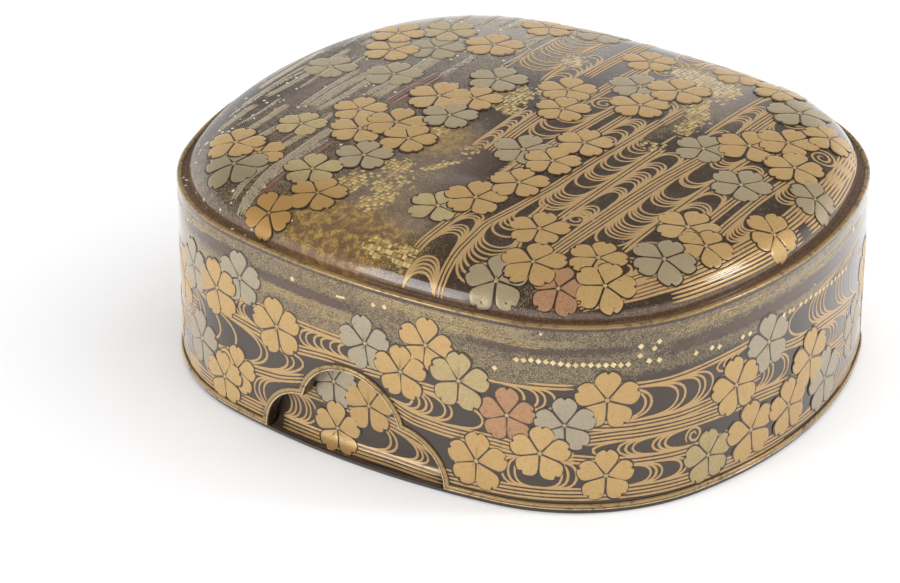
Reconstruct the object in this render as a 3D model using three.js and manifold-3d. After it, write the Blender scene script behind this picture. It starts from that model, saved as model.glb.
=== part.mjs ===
// An oval lacquered box: a deep lid that covers the box body down to its foot, with a cusped finger notch cut in each
// long side. Millimetres, +Z up. The origin is the middle of the underside; +X runs along the longer side.
import * as THREE from "three";
import { mergeVertices } from "three/addons/utils/BufferGeometryUtils.js";
import Module from "manifold-3d";

const wasm = await Module();
wasm.setup();

// Plan of the lid wall's outer face: eight arcs, four sides that bulge and four corners.
const LENGTH = 124;
const WIDTH = 111.5;
const LONG_SIDE_RADIUS = 149;
const SHORT_SIDE_RADIUS = 83;
const CORNER_RADIUS = 37.4;
const SHORT_SIDE_STEPS = 6;
const CORNER_STEPS = 12;
const LONG_SIDE_STEPS = 8;

// Foot: the rim of the base board that stands out under the lid.
const FOOT_HEIGHT = 0.9;
const FOOT_EDGE_ROUND = 0.3;

// Lid wall, a hoop that stands on the foot.
const LID_WALL_THICKNESS = 2.4;
const LID_WALL_HEIGHT = 35.5;

// Lid top board: a flange on the hoop, a flat ledge, a round shoulder and a low crown, hollow underneath.
const FLANGE_THICKNESS = 0.6;
const LEDGE_WIDTH = 2.2;
const SHOULDER_WIDTH = 9;
const SHOULDER_RISE = 5.9;
const CROWN_RISE = 3.6;
const BOARD_THICKNESS = 3.6;
const UNDERSIDE_LAND = 3.5;
const SHOULDER_STEPS = 6;
const CROWN_STEPS = 5;

// Raised beads: one round the top edge, one along the lid's mouth and up round both notches.
const TOP_BEAD_WIDTH = 1;
const TOP_BEAD_HEIGHT = 0.4;
const MOUTH_BEAD_WIDTH = 1.1;
const MOUTH_BEAD_HEIGHT = 0.4;
const MOUTH_BEAD_EDGE = 0.1;
const BEAD_STEPS = 6;

// Finger notch: a round main lobe, its centre above the foot, between two side lobes centred on the foot's top.
const MAIN_LOBE_RADIUS = 10.8;
const MAIN_LOBE_HEIGHT = 7;
const SIDE_LOBE_RADIUS = 9.7;
const SIDE_LOBE_OFFSET = 9.8;
const LOBE_STEPS = 10;

// Box body: a hoop glued on the base board, inside the lid wall with a sliding gap.
const BASE_THICKNESS = 3;
const BODY_WALL_THICKNESS = 2.2;
const LID_GAP = 0.35;
const HEAD_GAP = 0.6;
const LIP_CHAMFER = 0.6;

// Hollow fillet in the bottom of a notch, from the foot's edge up to the body wall. It also keys the lid.
const FILLET_RISE = 3.2;
const FILLET_LIP = 0.2;
const FILLET_SIDE_GAP = 0.4;
const FILLET_STEPS = 6;
const GLUE_LINE = 0.08;

// Heights above the table and depths in from the outer face.
const lidTop = FOOT_HEIGHT + LID_WALL_HEIGHT;
const ledgeZ = lidTop + FLANGE_THICKNESS;
const bodyTop = lidTop - HEAD_GAP;
const bodyInset = LID_WALL_THICKNESS + LID_GAP;
const bodyInnerInset = bodyInset + BODY_WALL_THICKNESS;

// Centres of the plan's arcs in the first quadrant. A corner circle touches both side circles from inside.
function planArcs() {
  const shortX = LENGTH / 2 - SHORT_SIDE_RADIUS;
  const longY = WIDTH / 2 - LONG_SIDE_RADIUS;
  const reachShort = SHORT_SIDE_RADIUS - CORNER_RADIUS;
  const reachLong = LONG_SIDE_RADIUS - CORNER_RADIUS;
  const apart = Math.hypot(shortX, longY);
  const along = (reachShort ** 2 - reachLong ** 2 + apart ** 2) / (2 * apart);
  const off = Math.sqrt(reachShort ** 2 - along ** 2);
  const ux = -shortX / apart;
  const uy = longY / apart;
  const cornerX = shortX + ux * along - uy * off;
  const cornerY = uy * along + ux * off;
  const shortEnd = Math.atan2(cornerY, cornerX - shortX);
  const longEnd = Math.atan2(cornerY - longY, cornerX);
  return { shortX, longY, cornerX, cornerY, shortEnd, longEnd };
}
const plan = planArcs();

// The plan drawn in by inset all round, then scaled, as one closed ring of points, anticlockwise from +X.
function ringAt(inset, scale = 1) {
  const { shortX, longY, cornerX, cornerY, shortEnd, longEnd } = plan;
  const quarter = [];
  const arc = (cx, cy, radius, from, to, steps) => {
    for (let i = 0; i < steps; i++) {
      const turn = from + ((to - from) * i) / steps;
      quarter.push([cx + radius * Math.cos(turn), cy + radius * Math.sin(turn)]);
    }
  };
  arc(shortX, 0, SHORT_SIDE_RADIUS - inset, 0, shortEnd, SHORT_SIDE_STEPS);
  arc(cornerX, cornerY, CORNER_RADIUS - inset, shortEnd, longEnd, CORNER_STEPS);
  arc(0, longY, LONG_SIDE_RADIUS - inset, longEnd, Math.PI / 2, LONG_SIDE_STEPS);
  const middle = [0, WIDTH / 2 - inset];
  const back = [middle, ...quarter.slice(1).reverse()];
  const mirrored = (points, sx, sy) => points.map(([x, y]) => [x * sx, y * sy]);
  const ring = [
    ...quarter,
    ...mirrored(back, -1, 1),
    ...mirrored(quarter, -1, -1),
    ...mirrored(back, 1, -1),
  ];
  return ring.map(([x, y]) => new THREE.Vector2(x * scale, y * scale));
}

// Height along Y of a long side's outer face at a given x.
const longSideY = (x) => plan.longY + Math.sqrt(LONG_SIDE_RADIUS ** 2 - x ** 2);

// Outward normal of the lid wall's outer face at a point on it.
function wallNormal({ x, y }) {
  const { shortX, longY, cornerX, cornerY, shortEnd, longEnd } = plan;
  const ax = Math.abs(x);
  const ay = Math.abs(y);
  const cornerTurn = Math.atan2(ay - cornerY, ax - cornerX);
  let centre = [cornerX, cornerY];
  if (cornerTurn < shortEnd && ax > cornerX) centre = [shortX, 0];
  if (cornerTurn > longEnd) centre = [0, longY];
  const normal = new THREE.Vector2(ax - centre[0], ay - centre[1]).normalize();
  return new THREE.Vector3(Math.sign(x) * normal.x, Math.sign(y) * normal.y, 0);
}

function geometryFrom(positions, index) {
  const geometry = new THREE.BufferGeometry();
  geometry.setAttribute("position", new THREE.Float32BufferAttribute(positions, 3));
  geometry.setIndex(index);
  geometry.computeVertexNormals();
  return geometry;
}

// Faces between closed rows of points. The last row joins the first where the rows close on themselves;
// otherwise the first and last row are each drawn together to a point.
function skin(rows, closed, firstPoint, lastPoint) {
  const count = rows[0].length;
  const positions = rows.flat().flatMap((p) => [p.x, p.y, p.z]);
  const index = [];
  const last = closed ? rows.length : rows.length - 1;
  for (let r = 0; r < last; r++) {
    const next = (r + 1) % rows.length;
    for (let i = 0; i < count; i++) {
      const j = (i + 1) % count;
      index.push(r * count + i, r * count + j, next * count + j);
      index.push(r * count + i, next * count + j, next * count + i);
    }
  }
  const drawTogether = (row, point, lead, trail) => {
    const centre = positions.length / 3;
    positions.push(point.x, point.y, point.z);
    for (let i = 0; i < count; i++) {
      index.push(row * count + ((i + lead) % count), row * count + ((i + trail) % count), centre);
    }
  };
  if (!closed) {
    drawTogether(0, firstPoint, 1, 0);
    drawTogether(rows.length - 1, lastPoint, 0, 1);
  }
  return geometryFrom(positions, index);
}

const roundRow = ({ inset, z, scale }) => ringAt(inset, scale).map((p) => new THREE.Vector3(p.x, p.y, z));

// A closed profile swept round the plan, which gives a hoop. It runs from the underside outwards and up.
const hoop = (profile) => skin(profile.map(roundRow), true);

// An open profile swept round the plan and closed in the middle, which gives a board.
function board(profile, bottomZ, topZ) {
  return skin(profile.map(roundRow), false, new THREE.Vector3(0, 0, bottomZ), new THREE.Vector3(0, 0, topZ));
}

function toSolid(geometry) {
  const bare = geometry.clone();
  bare.deleteAttribute("normal");
  bare.deleteAttribute("uv");
  const merged = mergeVertices(bare, 1e-4);
  const mesh = new wasm.Mesh({
    numProp: 3,
    vertProperties: merged.attributes.position.array,
    triVerts: new Uint32Array(merged.index.array),
  });
  return new wasm.Manifold(mesh);
}

function toGeometry(solid) {
  const { vertProperties, triVerts } = solid.getMesh();
  return geometryFrom(Array.from(vertProperties), Array.from(triVerts));
}

// Half of the notch's outline, grown by grow: from the top of the main lobe to the cusp and on down the side lobe
// to height endZ, as [x, z] pairs.
function notchHalf(grow, endZ) {
  const mainRadius = MAIN_LOBE_RADIUS + grow;
  const sideRadius = SIDE_LOBE_RADIUS + grow;
  const mainZ = FOOT_HEIGHT + MAIN_LOBE_HEIGHT;
  const sideZ = FOOT_HEIGHT;
  const apart = Math.hypot(SIDE_LOBE_OFFSET, MAIN_LOBE_HEIGHT);
  const along = (mainRadius ** 2 - sideRadius ** 2 + apart ** 2) / (2 * apart);
  const cuspTurn = Math.acos(along / mainRadius) - Math.atan2(MAIN_LOBE_HEIGHT, SIDE_LOBE_OFFSET);
  const cuspX = mainRadius * Math.cos(cuspTurn);
  const cuspZ = mainZ + mainRadius * Math.sin(cuspTurn);
  const sideTurn = Math.atan2(cuspZ - sideZ, cuspX - SIDE_LOBE_OFFSET);
  const endTurn = Math.asin((endZ - sideZ) / sideRadius);
  const points = [];
  const arc = (cx, cz, radius, from, to, first) => {
    for (let i = first; i <= LOBE_STEPS; i++) {
      const turn = from + ((to - from) * i) / LOBE_STEPS;
      points.push([cx + radius * Math.cos(turn), cz + radius * Math.sin(turn)]);
    }
  };
  arc(0, mainZ, mainRadius, Math.PI / 2, cuspTurn, 0);
  arc(SIDE_LOBE_OFFSET, sideZ, sideRadius, sideTurn, endTurn, 1);
  return points;
}

// A prism of the notch's outline that runs right through the box along Y and down past the table.
function notchPrism(grow) {
  const half = notchHalf(grow, FOOT_HEIGHT);
  const foot = [half[half.length - 1][0], -FOOT_HEIGHT];
  const right = [...half, foot];
  const left = right.slice(1).reverse().map(([x, z]) => [-x, z]);
  const shape = new THREE.Shape([...right, ...left].map(([x, z]) => new THREE.Vector2(x, z)));
  const geometry = new THREE.ExtrudeGeometry(shape, { depth: WIDTH * 2, bevelEnabled: false });
  geometry.rotateX(Math.PI / 2).translate(0, WIDTH, 0);
  return toSolid(geometry);
}

function lidWall() {
  const wall = hoop([
    { inset: LID_WALL_THICKNESS, z: FOOT_HEIGHT },
    { inset: 0, z: FOOT_HEIGHT },
    { inset: 0, z: lidTop },
    { inset: LID_WALL_THICKNESS, z: lidTop },
  ]);
  return toGeometry(toSolid(wall).subtract(notchPrism(0)));
}

function lidTopBoard() {
  const shoulderEnd = LEDGE_WIDTH + SHOULDER_WIDTH;
  const meanHalf = (LENGTH + WIDTH) / 4;
  const crownAt = (depth) => CROWN_RISE * (1 - ((meanHalf - depth) / (meanHalf - LEDGE_WIDTH)) ** 2);
  const crownDepth = (scale) => meanHalf - scale * (meanHalf - shoulderEnd);
  const landInset = LID_WALL_THICKNESS + UNDERSIDE_LAND;
  const hollowRise = FLANGE_THICKNESS + SHOULDER_RISE - BOARD_THICKNESS;
  const outside = [
    { inset: 0, z: lidTop },
    { inset: 0, z: ledgeZ },
  ];
  const inside = [];
  for (let i = 0; i <= SHOULDER_STEPS; i++) {
    const turn = (Math.PI / 2) * (i / SHOULDER_STEPS);
    const inset = LEDGE_WIDTH + SHOULDER_WIDTH * (1 - Math.cos(turn));
    outside.push({ inset, z: ledgeZ + SHOULDER_RISE * Math.sin(turn) + crownAt(inset) });
    const under = landInset + (shoulderEnd - landInset) * (1 - Math.cos(turn));
    const lift = crownAt(under) - crownAt(landInset) * Math.cos(turn);
    inside.push({ inset: under, z: lidTop + hollowRise * Math.sin(turn) + lift });
  }
  for (let i = 1; i < CROWN_STEPS; i++) {
    const scale = 1 - i / CROWN_STEPS;
    const crown = crownAt(crownDepth(scale));
    outside.push({ inset: shoulderEnd, scale, z: ledgeZ + SHOULDER_RISE + crown });
    inside.push({ inset: shoulderEnd, scale, z: lidTop + hollowRise + crown });
  }
  const topZ = ledgeZ + SHOULDER_RISE + CROWN_RISE;
  return board([...inside.reverse(), ...outside], topZ - BOARD_THICKNESS, topZ);
}

// A half-round section, flat side down, as pairs of [across, up] with the flat side's ends first and last.
function beadSection(width, height) {
  const section = [];
  for (let i = 0; i <= BEAD_STEPS; i++) {
    const turn = (Math.PI * i) / BEAD_STEPS;
    section.push([(width / 2) * Math.cos(turn), height * Math.sin(turn)]);
  }
  return section;
}

function lidTopBead() {
  const section = beadSection(TOP_BEAD_WIDTH, TOP_BEAD_HEIGHT);
  return hoop(section.map(([across, up]) => ({ inset: TOP_BEAD_WIDTH / 2 - across, z: ledgeZ + up })));
}

// The mouth bead's middle line on the lid wall: along the foot, up and over each notch, in one closed loop.
function mouthBeadPath() {
  const lowZ = FOOT_HEIGHT + GLUE_LINE + MOUTH_BEAD_WIDTH / 2;
  const rightHalf = notchHalf(MOUTH_BEAD_EDGE + MOUTH_BEAD_WIDTH / 2, lowZ).reverse();
  const leftHalf = rightHalf.slice(0, -1).reverse().map(([x, z]) => [-x, z]);
  const arch = [...rightHalf, ...leftHalf];
  const front = arch.map(([x, z]) => new THREE.Vector3(-x, -longSideY(x), z));
  const back = arch.map(([x, z]) => new THREE.Vector3(x, longSideY(x), z));
  const clear = arch[0][0] + MOUTH_BEAD_WIDTH;
  const side = (sign) =>
    ringAt(0)
      .filter((p) => p.x * sign > clear)
      .sort((a, b) => sign * (a.y - b.y))
      .map((p) => new THREE.Vector3(p.x, p.y, lowZ));
  return [...front, ...side(1), ...back, ...side(-1)];
}

function lidMouthBead() {
  const path = mouthBeadPath();
  const section = beadSection(MOUTH_BEAD_WIDTH, MOUTH_BEAD_HEIGHT);
  const rows = path.map((point, i) => {
    const before = path[(i + path.length - 1) % path.length];
    const after = path[(i + 1) % path.length];
    const onward = after.clone().sub(point).normalize();
    const tangent = point.clone().sub(before).normalize().add(onward).normalize();
    const normal = wallNormal(point);
    const side = new THREE.Vector3().crossVectors(normal, tangent).normalize();
    const mitre = 1 / tangent.dot(onward);
    const place = ([across, up]) =>
      point.clone().addScaledVector(side, across * mitre).addScaledVector(normal, GLUE_LINE + up);
    return section.map(place);
  });
  return skin(rows, true);
}

function bodyBase() {
  const profile = [
    { inset: FOOT_EDGE_ROUND, z: 0 },
    { inset: 0, z: FOOT_EDGE_ROUND },
    { inset: 0, z: FOOT_HEIGHT },
    { inset: bodyInset, z: FOOT_HEIGHT },
    { inset: bodyInset, z: BASE_THICKNESS },
  ];
  return board(profile, 0, BASE_THICKNESS);
}

function bodyWall() {
  return hoop([
    { inset: bodyInnerInset, z: BASE_THICKNESS },
    { inset: bodyInset, z: BASE_THICKNESS },
    { inset: bodyInset, z: bodyTop - LIP_CHAMFER },
    { inset: bodyInset + LIP_CHAMFER, z: bodyTop },
    { inset: bodyInnerInset - LIP_CHAMFER, z: bodyTop },
    { inset: bodyInnerInset, z: bodyTop - LIP_CHAMFER },
  ]);
}

// side is -1 at the front and 1 at the back.
function notchFillet(side) {
  const inner = bodyInset - GLUE_LINE;
  const profile = [{ inset: inner, z: FOOT_HEIGHT }, { inset: FOOT_EDGE_ROUND, z: FOOT_HEIGHT }];
  for (let i = 0; i <= FILLET_STEPS; i++) {
    const turn = (Math.PI / 2) * (i / FILLET_STEPS);
    const inset = FOOT_EDGE_ROUND + (inner - FOOT_EDGE_ROUND - FILLET_LIP) * Math.sin(turn);
    profile.push({ inset, z: FOOT_HEIGHT + FILLET_LIP + (FILLET_RISE - FILLET_LIP) * (1 - Math.cos(turn)) });
  }
  profile.push({ inset: inner, z: FOOT_HEIGHT + FILLET_RISE });
  const both = toSolid(hoop(profile)).intersect(notchPrism(-FILLET_SIDE_GAP));
  const middleY = (part) => (part.boundingBox().min[1] + part.boundingBox().max[1]) / 2;
  return toGeometry(both.decompose().find((part) => middleY(part) * side > 0));
}

const lacquer = (color, roughness, metalness) => new THREE.MeshStandardMaterial({ color, roughness, metalness });
const patterned = lacquer(0x6b5636, 0.28, 0.35);
const goldEdge = lacquer(0xa88646, 0.32, 0.6);
const blackLacquer = lacquer(0x2b241f, 0.3, 0.1);

function piece(name, geometry, material) {
  const mesh = new THREE.Mesh(geometry, material);
  mesh.name = name;
  return mesh;
}

const lid = new THREE.Group();
lid.add(
  piece("lid_wall", lidWall(), patterned),
  piece("lid_top_board", lidTopBoard(), patterned),
  piece("lid_top_bead", lidTopBead(), goldEdge),
  piece("lid_mouth_bead", lidMouthBead(), goldEdge),
);

const body = new THREE.Group();
body.add(
  piece("body_base", bodyBase(), blackLacquer),
  piece("body_wall", bodyWall(), patterned),
  piece("notch_fillet_front", notchFillet(-1), patterned),
  piece("notch_fillet_back", notchFillet(1), patterned),
);

const box = new THREE.Group();
box.add(lid, body);

export default box;
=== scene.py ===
# %% [markdown]
# An oval lacquer box with cherry blossoms on flowing water. This first cell loads the solids of the box as
# a fixed frame: every piece made here goes where those solids are. Blender works in metres, and the sizes
# below are in millimetres, so each mesh is scaled by MM when it is written.

# %% Load the frame
from math import atan2, cos, hypot, pi, radians, sin, sqrt

import bmesh
import bpy
import numpy as np
from mathutils import Matrix, Vector


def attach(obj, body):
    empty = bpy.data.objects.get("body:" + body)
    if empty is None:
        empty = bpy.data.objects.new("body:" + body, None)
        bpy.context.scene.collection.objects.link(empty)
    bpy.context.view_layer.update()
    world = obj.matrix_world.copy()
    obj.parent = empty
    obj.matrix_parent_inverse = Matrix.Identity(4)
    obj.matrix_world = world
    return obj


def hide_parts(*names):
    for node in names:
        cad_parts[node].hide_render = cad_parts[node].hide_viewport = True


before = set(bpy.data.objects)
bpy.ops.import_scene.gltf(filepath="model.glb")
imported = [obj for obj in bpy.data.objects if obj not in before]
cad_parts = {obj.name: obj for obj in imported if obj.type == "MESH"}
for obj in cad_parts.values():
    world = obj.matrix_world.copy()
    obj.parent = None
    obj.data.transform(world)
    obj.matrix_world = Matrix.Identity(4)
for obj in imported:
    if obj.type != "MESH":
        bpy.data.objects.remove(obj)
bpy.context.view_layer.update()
MM = 0.001
print("solids:", ", ".join(sorted(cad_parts)))

# %% [markdown]
# The camera stands where the photograph was taken from: 33 degrees to the right of the front, looking down
# at 29 degrees. The direction, distance and lens come from matching the outline of the box. A small shift
# puts the box where it stands in the picture.

# %% Camera
CAMERA_AZIMUTH = radians(33.18)
CAMERA_ELEVATION = radians(29.14)
CAMERA_DISTANCE = 0.6582
LENS_MM = 137.67
SHIFT_X = -0.0803
SHIFT_Y = 0.0528
CAMERA_ROLL = radians(0.68)

camera_data = bpy.data.cameras.new("camera")
camera_data.lens = LENS_MM
camera_data.shift_x = SHIFT_X
camera_data.shift_y = SHIFT_Y
camera = bpy.data.objects.new("camera", camera_data)
bpy.context.scene.collection.objects.link(camera)
backward = Vector((
    sin(CAMERA_AZIMUTH) * cos(CAMERA_ELEVATION),
    -cos(CAMERA_AZIMUTH) * cos(CAMERA_ELEVATION),
    sin(CAMERA_ELEVATION),
))
turn = backward.to_track_quat("Z", "Y").to_matrix().to_4x4() @ Matrix.Rotation(CAMERA_ROLL, 4, "Z")
camera.matrix_world = Matrix.Translation(backward * CAMERA_DISTANCE) @ turn
bpy.context.scene.camera = camera

# %% [markdown]
# Light and finishes are built from nodes. These helpers add one node with its settings and inputs in one
# line. An input takes either a plain value or the output of another node.

# %% Node helpers
def connect(tree, socket, value):
    if isinstance(value, bpy.types.NodeSocket):
        tree.links.new(value, socket)
    elif socket.type == "RGBA":
        socket.default_value = (*value, 1)
    else:
        socket.default_value = value


def add_node(tree, kind, inputs=None, **settings):
    node = tree.nodes.new("ShaderNode" + kind)
    for name, value in settings.items():
        setattr(node, name, value)
    for socket, value in (inputs or {}).items():
        connect(tree, node.inputs[socket], value)
    return node


def math_node(tree, operation, *values):
    return add_node(tree, "Math", dict(enumerate(values)), operation=operation).outputs[0]


def map_range(tree, value, from_min, from_max, to_min, to_max, kind="LINEAR"):
    inputs = {"Value": value, "From Min": from_min, "From Max": from_max, "To Min": to_min, "To Max": to_max}
    return add_node(tree, "MapRange", inputs, interpolation_type=kind).outputs["Result"]


def smooth_step(tree, value, low, high):
    return map_range(tree, value, low, high, 0.0, 1.0, "SMOOTHSTEP")


def blend_colors(tree, share, first, second, most=1.0):
    """Mix two colours; the share of the second one is scaled so that it reaches at most this number."""
    if most != 1.0:
        share = math_node(tree, "MULTIPLY", share, most)
    return add_node(tree, "Mix", {0: share, 6: first, 7: second}, data_type="RGBA").outputs[2]


def set_layers(tree, layers):
    for socket, value in layers.items():
        connect(tree, tree.nodes["Principled BSDF"].inputs[socket], value)

# %% [markdown]
# The studio is a white floor under a plain white sky, with two soft lamps. Gloss on lacquer is mostly a
# reflection of the room, so a white room is what gives the milky gloss on the sides that are seen at a
# shallow angle. Seen or mirrored, the sky is bright at the level of the walls and dark overhead. As light
# it is strongest from above. The floor glows a little for the eye and in mirrors. For the eye the glow dips
# in a soft blob at the left of the box, which is a painted shadow.

# %% Floor and light
SKY_LOW = 0.42
SKY_HIGH = 1.26
SKY_LEVEL = 1.4
SKY_OVERHEAD = 0.13
FLOOR_SIZE = 6
FLOOR_COLOR = (0.83, 0.83, 0.84)
FLOOR_GLOW_IN_MIRRORS = 0.26
# Where the floor's glow to the eye is lowest, painting a soft shadow at the left of the box, and how far it
# reaches.
PAINTED_SHADOW_PLACE = (-0.0626, -0.0412, 0.0)
PAINTED_SHADOW_REACH = 0.1
GLOW_IN_PAINTED_SHADOW = 0.03
GLOW_AWAY = 0.2
LAMP_DISTANCE = 0.9

scene = bpy.context.scene
scene.view_settings.view_transform = "Standard"
world = bpy.data.worlds.new("studio")
scene.world = world
world.use_nodes = True
sky = world.node_tree
rays = add_node(sky, "LightPath").outputs
seen = math_node(sky, "MAXIMUM", rays["Is Camera Ray"], rays["Is Glossy Ray"])
seen = math_node(sky, "MAXIMUM", seen, rays["Is Transmission Ray"])
direction = add_node(sky, "TexCoord").outputs["Generated"]
upward = add_node(sky, "SeparateXYZ", {"Vector": direction}).outputs["Z"]
look = map_range(sky, upward, 0.16, 0.46, SKY_LEVEL, SKY_OVERHEAD, "SMOOTHSTEP")
light = map_range(sky, upward, -0.1, 0.9, SKY_LOW, SKY_HIGH)
background = sky.nodes["Background"].inputs
connect(sky, background["Strength"], map_range(sky, seen, 0.0, 1.0, light, look))
connect(sky, background["Color"], (1, 1, 1))

bpy.ops.mesh.primitive_plane_add(size=FLOOR_SIZE)
floor = bpy.context.object
floor.name = "studio_floor"
floor_material = bpy.data.materials.new("floor_paper")
floor_material.use_nodes = True
paper = floor_material.node_tree
rays = add_node(paper, "LightPath").outputs
place = add_node(paper, "NewGeometry").outputs["Position"]
away = add_node(paper, "VectorMath", {0: place, 1: PAINTED_SHADOW_PLACE}, operation="DISTANCE").outputs["Value"]
# The glow to the eye dips near that place: this dip is a painted shadow on the floor.
glow_with_painted_shadow = map_range(paper, away, 0.0, PAINTED_SHADOW_REACH, GLOW_IN_PAINTED_SHADOW, GLOW_AWAY)
glow_to_eye = math_node(paper, "MULTIPLY", rays["Is Camera Ray"], glow_with_painted_shadow)
mirrored = math_node(paper, "MAXIMUM", rays["Is Glossy Ray"], rays["Is Transmission Ray"])
glow = math_node(paper, "MULTIPLY_ADD", mirrored, FLOOR_GLOW_IN_MIRRORS, glow_to_eye)
set_layers(paper, {
    "Base Color": FLOOR_COLOR, "Roughness": 0.9, "Specular IOR Level": 0.1, "Emission Color": (1, 1, 1),
    "Emission Strength": glow,
})
floor.data.materials.append(floor_material)


def soft_lamp(name, azimuth, elevation, watts, wide, tall):
    """A window-like lamp, aimed at the box from a direction given in degrees from the front."""
    data = bpy.data.lights.new(name, "AREA")
    data.shape = "RECTANGLE"
    data.energy = watts
    data.size = wide
    data.size_y = tall
    lamp = bpy.data.objects.new(name, data)
    scene.collection.objects.link(lamp)
    side, up = radians(azimuth), radians(elevation)
    lamp.location = LAMP_DISTANCE * Vector((sin(side) * cos(up), -cos(side) * cos(up), sin(up)))
    lamp.rotation_euler = (-lamp.location).to_track_quat("-Z", "Y").to_euler()


soft_lamp("strip_front_left", -21, 17, 2.4, 0.28, 0.45)
soft_lamp("window_right", 119, 31, 2.2, 0.14, 0.18)
print("world light and", len(bpy.data.lights), "lamps")

# %% [markdown]
# These are the sizes of the real box, in millimetres, the same as in its solids but for the crown, which is
# 0.3 lower to leave room for the drawing. The plan is an oval of arcs: two long sides, two short sides and
# four corners. The lid wall runs down almost to the table and has a cusped notch in each long side.

# %% Sizes
LENGTH = 124.0
WIDTH = 111.5
LONG_SIDE_RADIUS = 149.0
SHORT_SIDE_RADIUS = 83.0
CORNER_RADIUS = 37.4
FOOT_HEIGHT = 0.9
FOOT_EDGE_ROUND = 0.3
LID_WALL_THICKNESS = 2.4
LID_TOP_Z = 36.4
LEDGE_Z = 37.0
LEDGE_WIDTH = 2.2
SHOULDER_WIDTH = 9.0
SHOULDER_RISE = 5.9
CROWN_RISE = 3.3
BOARD_THICKNESS = 3.6
UNDERSIDE_LAND = 3.5
TOP_BEAD_WIDTH = 1.0
TOP_BEAD_HEIGHT = 0.4
MOUTH_BEAD_EDGE = 0.1
MAIN_LOBE_RADIUS = 10.8
MAIN_LOBE_Z = 7.9
SIDE_LOBE_RADIUS = 9.7
SIDE_LOBE_OFFSET = 9.8
BASE_THICKNESS = 3.0
BODY_WALL_THICKNESS = 2.2
BODY_INSET = 2.75
BODY_TOP_Z = 35.8
LIP_CHAMFER = 0.6
FILLET_RISE = 3.2
FILLET_LIP = 0.2
FILLET_SIDE_GAP = 0.4

# %% [markdown]
# A place on the wall is given by how far along the outline it lies from the middle of the front, how far
# out it stands and how high. This helper turns that into x and y. A second one says how far inside the
# outline a point lies and which way is out, which is what the lid top needs.

# %% Outline of the box
SHORT_X = LENGTH / 2 - SHORT_SIDE_RADIUS
LONG_Y = WIDTH / 2 - LONG_SIDE_RADIUS
short_reach = SHORT_SIDE_RADIUS - CORNER_RADIUS
long_reach = LONG_SIDE_RADIUS - CORNER_RADIUS
apart = hypot(SHORT_X, LONG_Y)
toward = (short_reach**2 - long_reach**2 + apart**2) / (2 * apart)
aside = sqrt(short_reach**2 - toward**2)
CORNER_X = SHORT_X - SHORT_X / apart * toward - LONG_Y / apart * aside
CORNER_Y = LONG_Y / apart * toward - SHORT_X / apart * aside
SIDE_TURN = atan2(CORNER_Y, CORNER_X - SHORT_X)
FRONT_TURN = atan2(CORNER_Y - LONG_Y, CORNER_X)
LONG_ARC = (pi / 2 - FRONT_TURN) * LONG_SIDE_RADIUS
CORNER_ARC = (FRONT_TURN - SIDE_TURN) * CORNER_RADIUS
SHORT_ARC = SIDE_TURN * SHORT_SIDE_RADIUS
QUARTER = LONG_ARC + CORNER_ARC + SHORT_ARC
PERIMETER = 4 * QUARTER


def outline(along, out=0.0):
    along = np.mod(np.asarray(along, float), PERIMETER)
    quarter = np.minimum((along // QUARTER).astype(int), 3)
    step = along - quarter * QUARTER
    step = np.where(quarter % 2 == 0, step, QUARTER - step)
    on_long = step < LONG_ARC
    on_corner = step < LONG_ARC + CORNER_ARC
    corner_turn = pi / 2 - FRONT_TURN + (step - LONG_ARC) / CORNER_RADIUS
    short_turn = pi / 2 - SIDE_TURN + (step - LONG_ARC - CORNER_ARC) / SHORT_SIDE_RADIUS
    angle = np.where(on_long, step / LONG_SIDE_RADIUS, np.where(on_corner, corner_turn, short_turn))
    radius = np.where(on_long, LONG_SIDE_RADIUS, np.where(on_corner, CORNER_RADIUS, SHORT_SIDE_RADIUS)) + out
    centre_x = np.where(on_long, 0, np.where(on_corner, CORNER_X, SHORT_X))
    centre_y = np.where(on_long, -LONG_Y, np.where(on_corner, -CORNER_Y, 0))
    mirror_x = np.where(quarter < 2, 1, -1)
    mirror_y = np.where((quarter == 0) | (quarter == 3), 1, -1)
    return (centre_x + radius * np.sin(angle)) * mirror_x, (centre_y - radius * np.cos(angle)) * mirror_y


def inset_at(x, y):
    right, back = np.abs(x), np.abs(y)
    from_short = np.hypot(right - SHORT_X, back)
    from_long = np.hypot(right, back - LONG_Y)
    from_corner = np.hypot(right - CORNER_X, back - CORNER_Y)
    angle = np.arctan2(back - CORNER_Y, right - CORNER_X)
    use_short = angle < SIDE_TURN
    use_long = angle > FRONT_TURN
    inner = (right < CORNER_X) & (back < CORNER_Y)
    nearer_short = SHORT_SIDE_RADIUS - from_short < LONG_SIDE_RADIUS - from_long
    use_short = np.where(inner, nearer_short, use_short)
    use_long = np.where(inner, ~nearer_short, use_long)
    by_short = (SHORT_SIDE_RADIUS - from_short, (right - SHORT_X) / from_short, back / from_short)
    by_long = (LONG_SIDE_RADIUS - from_long, right / from_long, (back - LONG_Y) / from_long)
    safe = np.maximum(from_corner, 1e-9)
    by_corner = (CORNER_RADIUS - from_corner, (right - CORNER_X) / safe, (back - CORNER_Y) / safe)
    inset, out_x, out_y = (
        np.where(use_short, s, np.where(use_long, l, c)) for s, l, c in zip(by_short, by_long, by_corner)
    )
    return inset, out_x * np.sign(x + 1e-12), out_y * np.sign(y + 1e-12)


print(f"outline: {PERIMETER:.1f} mm round, corner centre at {CORNER_X:.2f}, {CORNER_Y:.2f}")

# %% [markdown]
# The lid top is a flat ledge, a round shoulder and a shallow crown. The drawing on it is laid out flat, as
# on paper, and then wrapped over the shoulder, so a blossom keeps its size where the lid curves down. The
# table SHOULDER holds the flat inset beside the real inset and height, measured along the curve.

# %% Shape of the lid top
SHOULDER_END = LEDGE_WIDTH + SHOULDER_WIDTH
MEAN_HALF = (LENGTH + WIDTH) / 4
SLOPE_STEP = 0.2


def crown_at(depth):
    return CROWN_RISE * (1 - ((MEAN_HALF - depth) / (MEAN_HALF - LEDGE_WIDTH)) ** 2)


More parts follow.
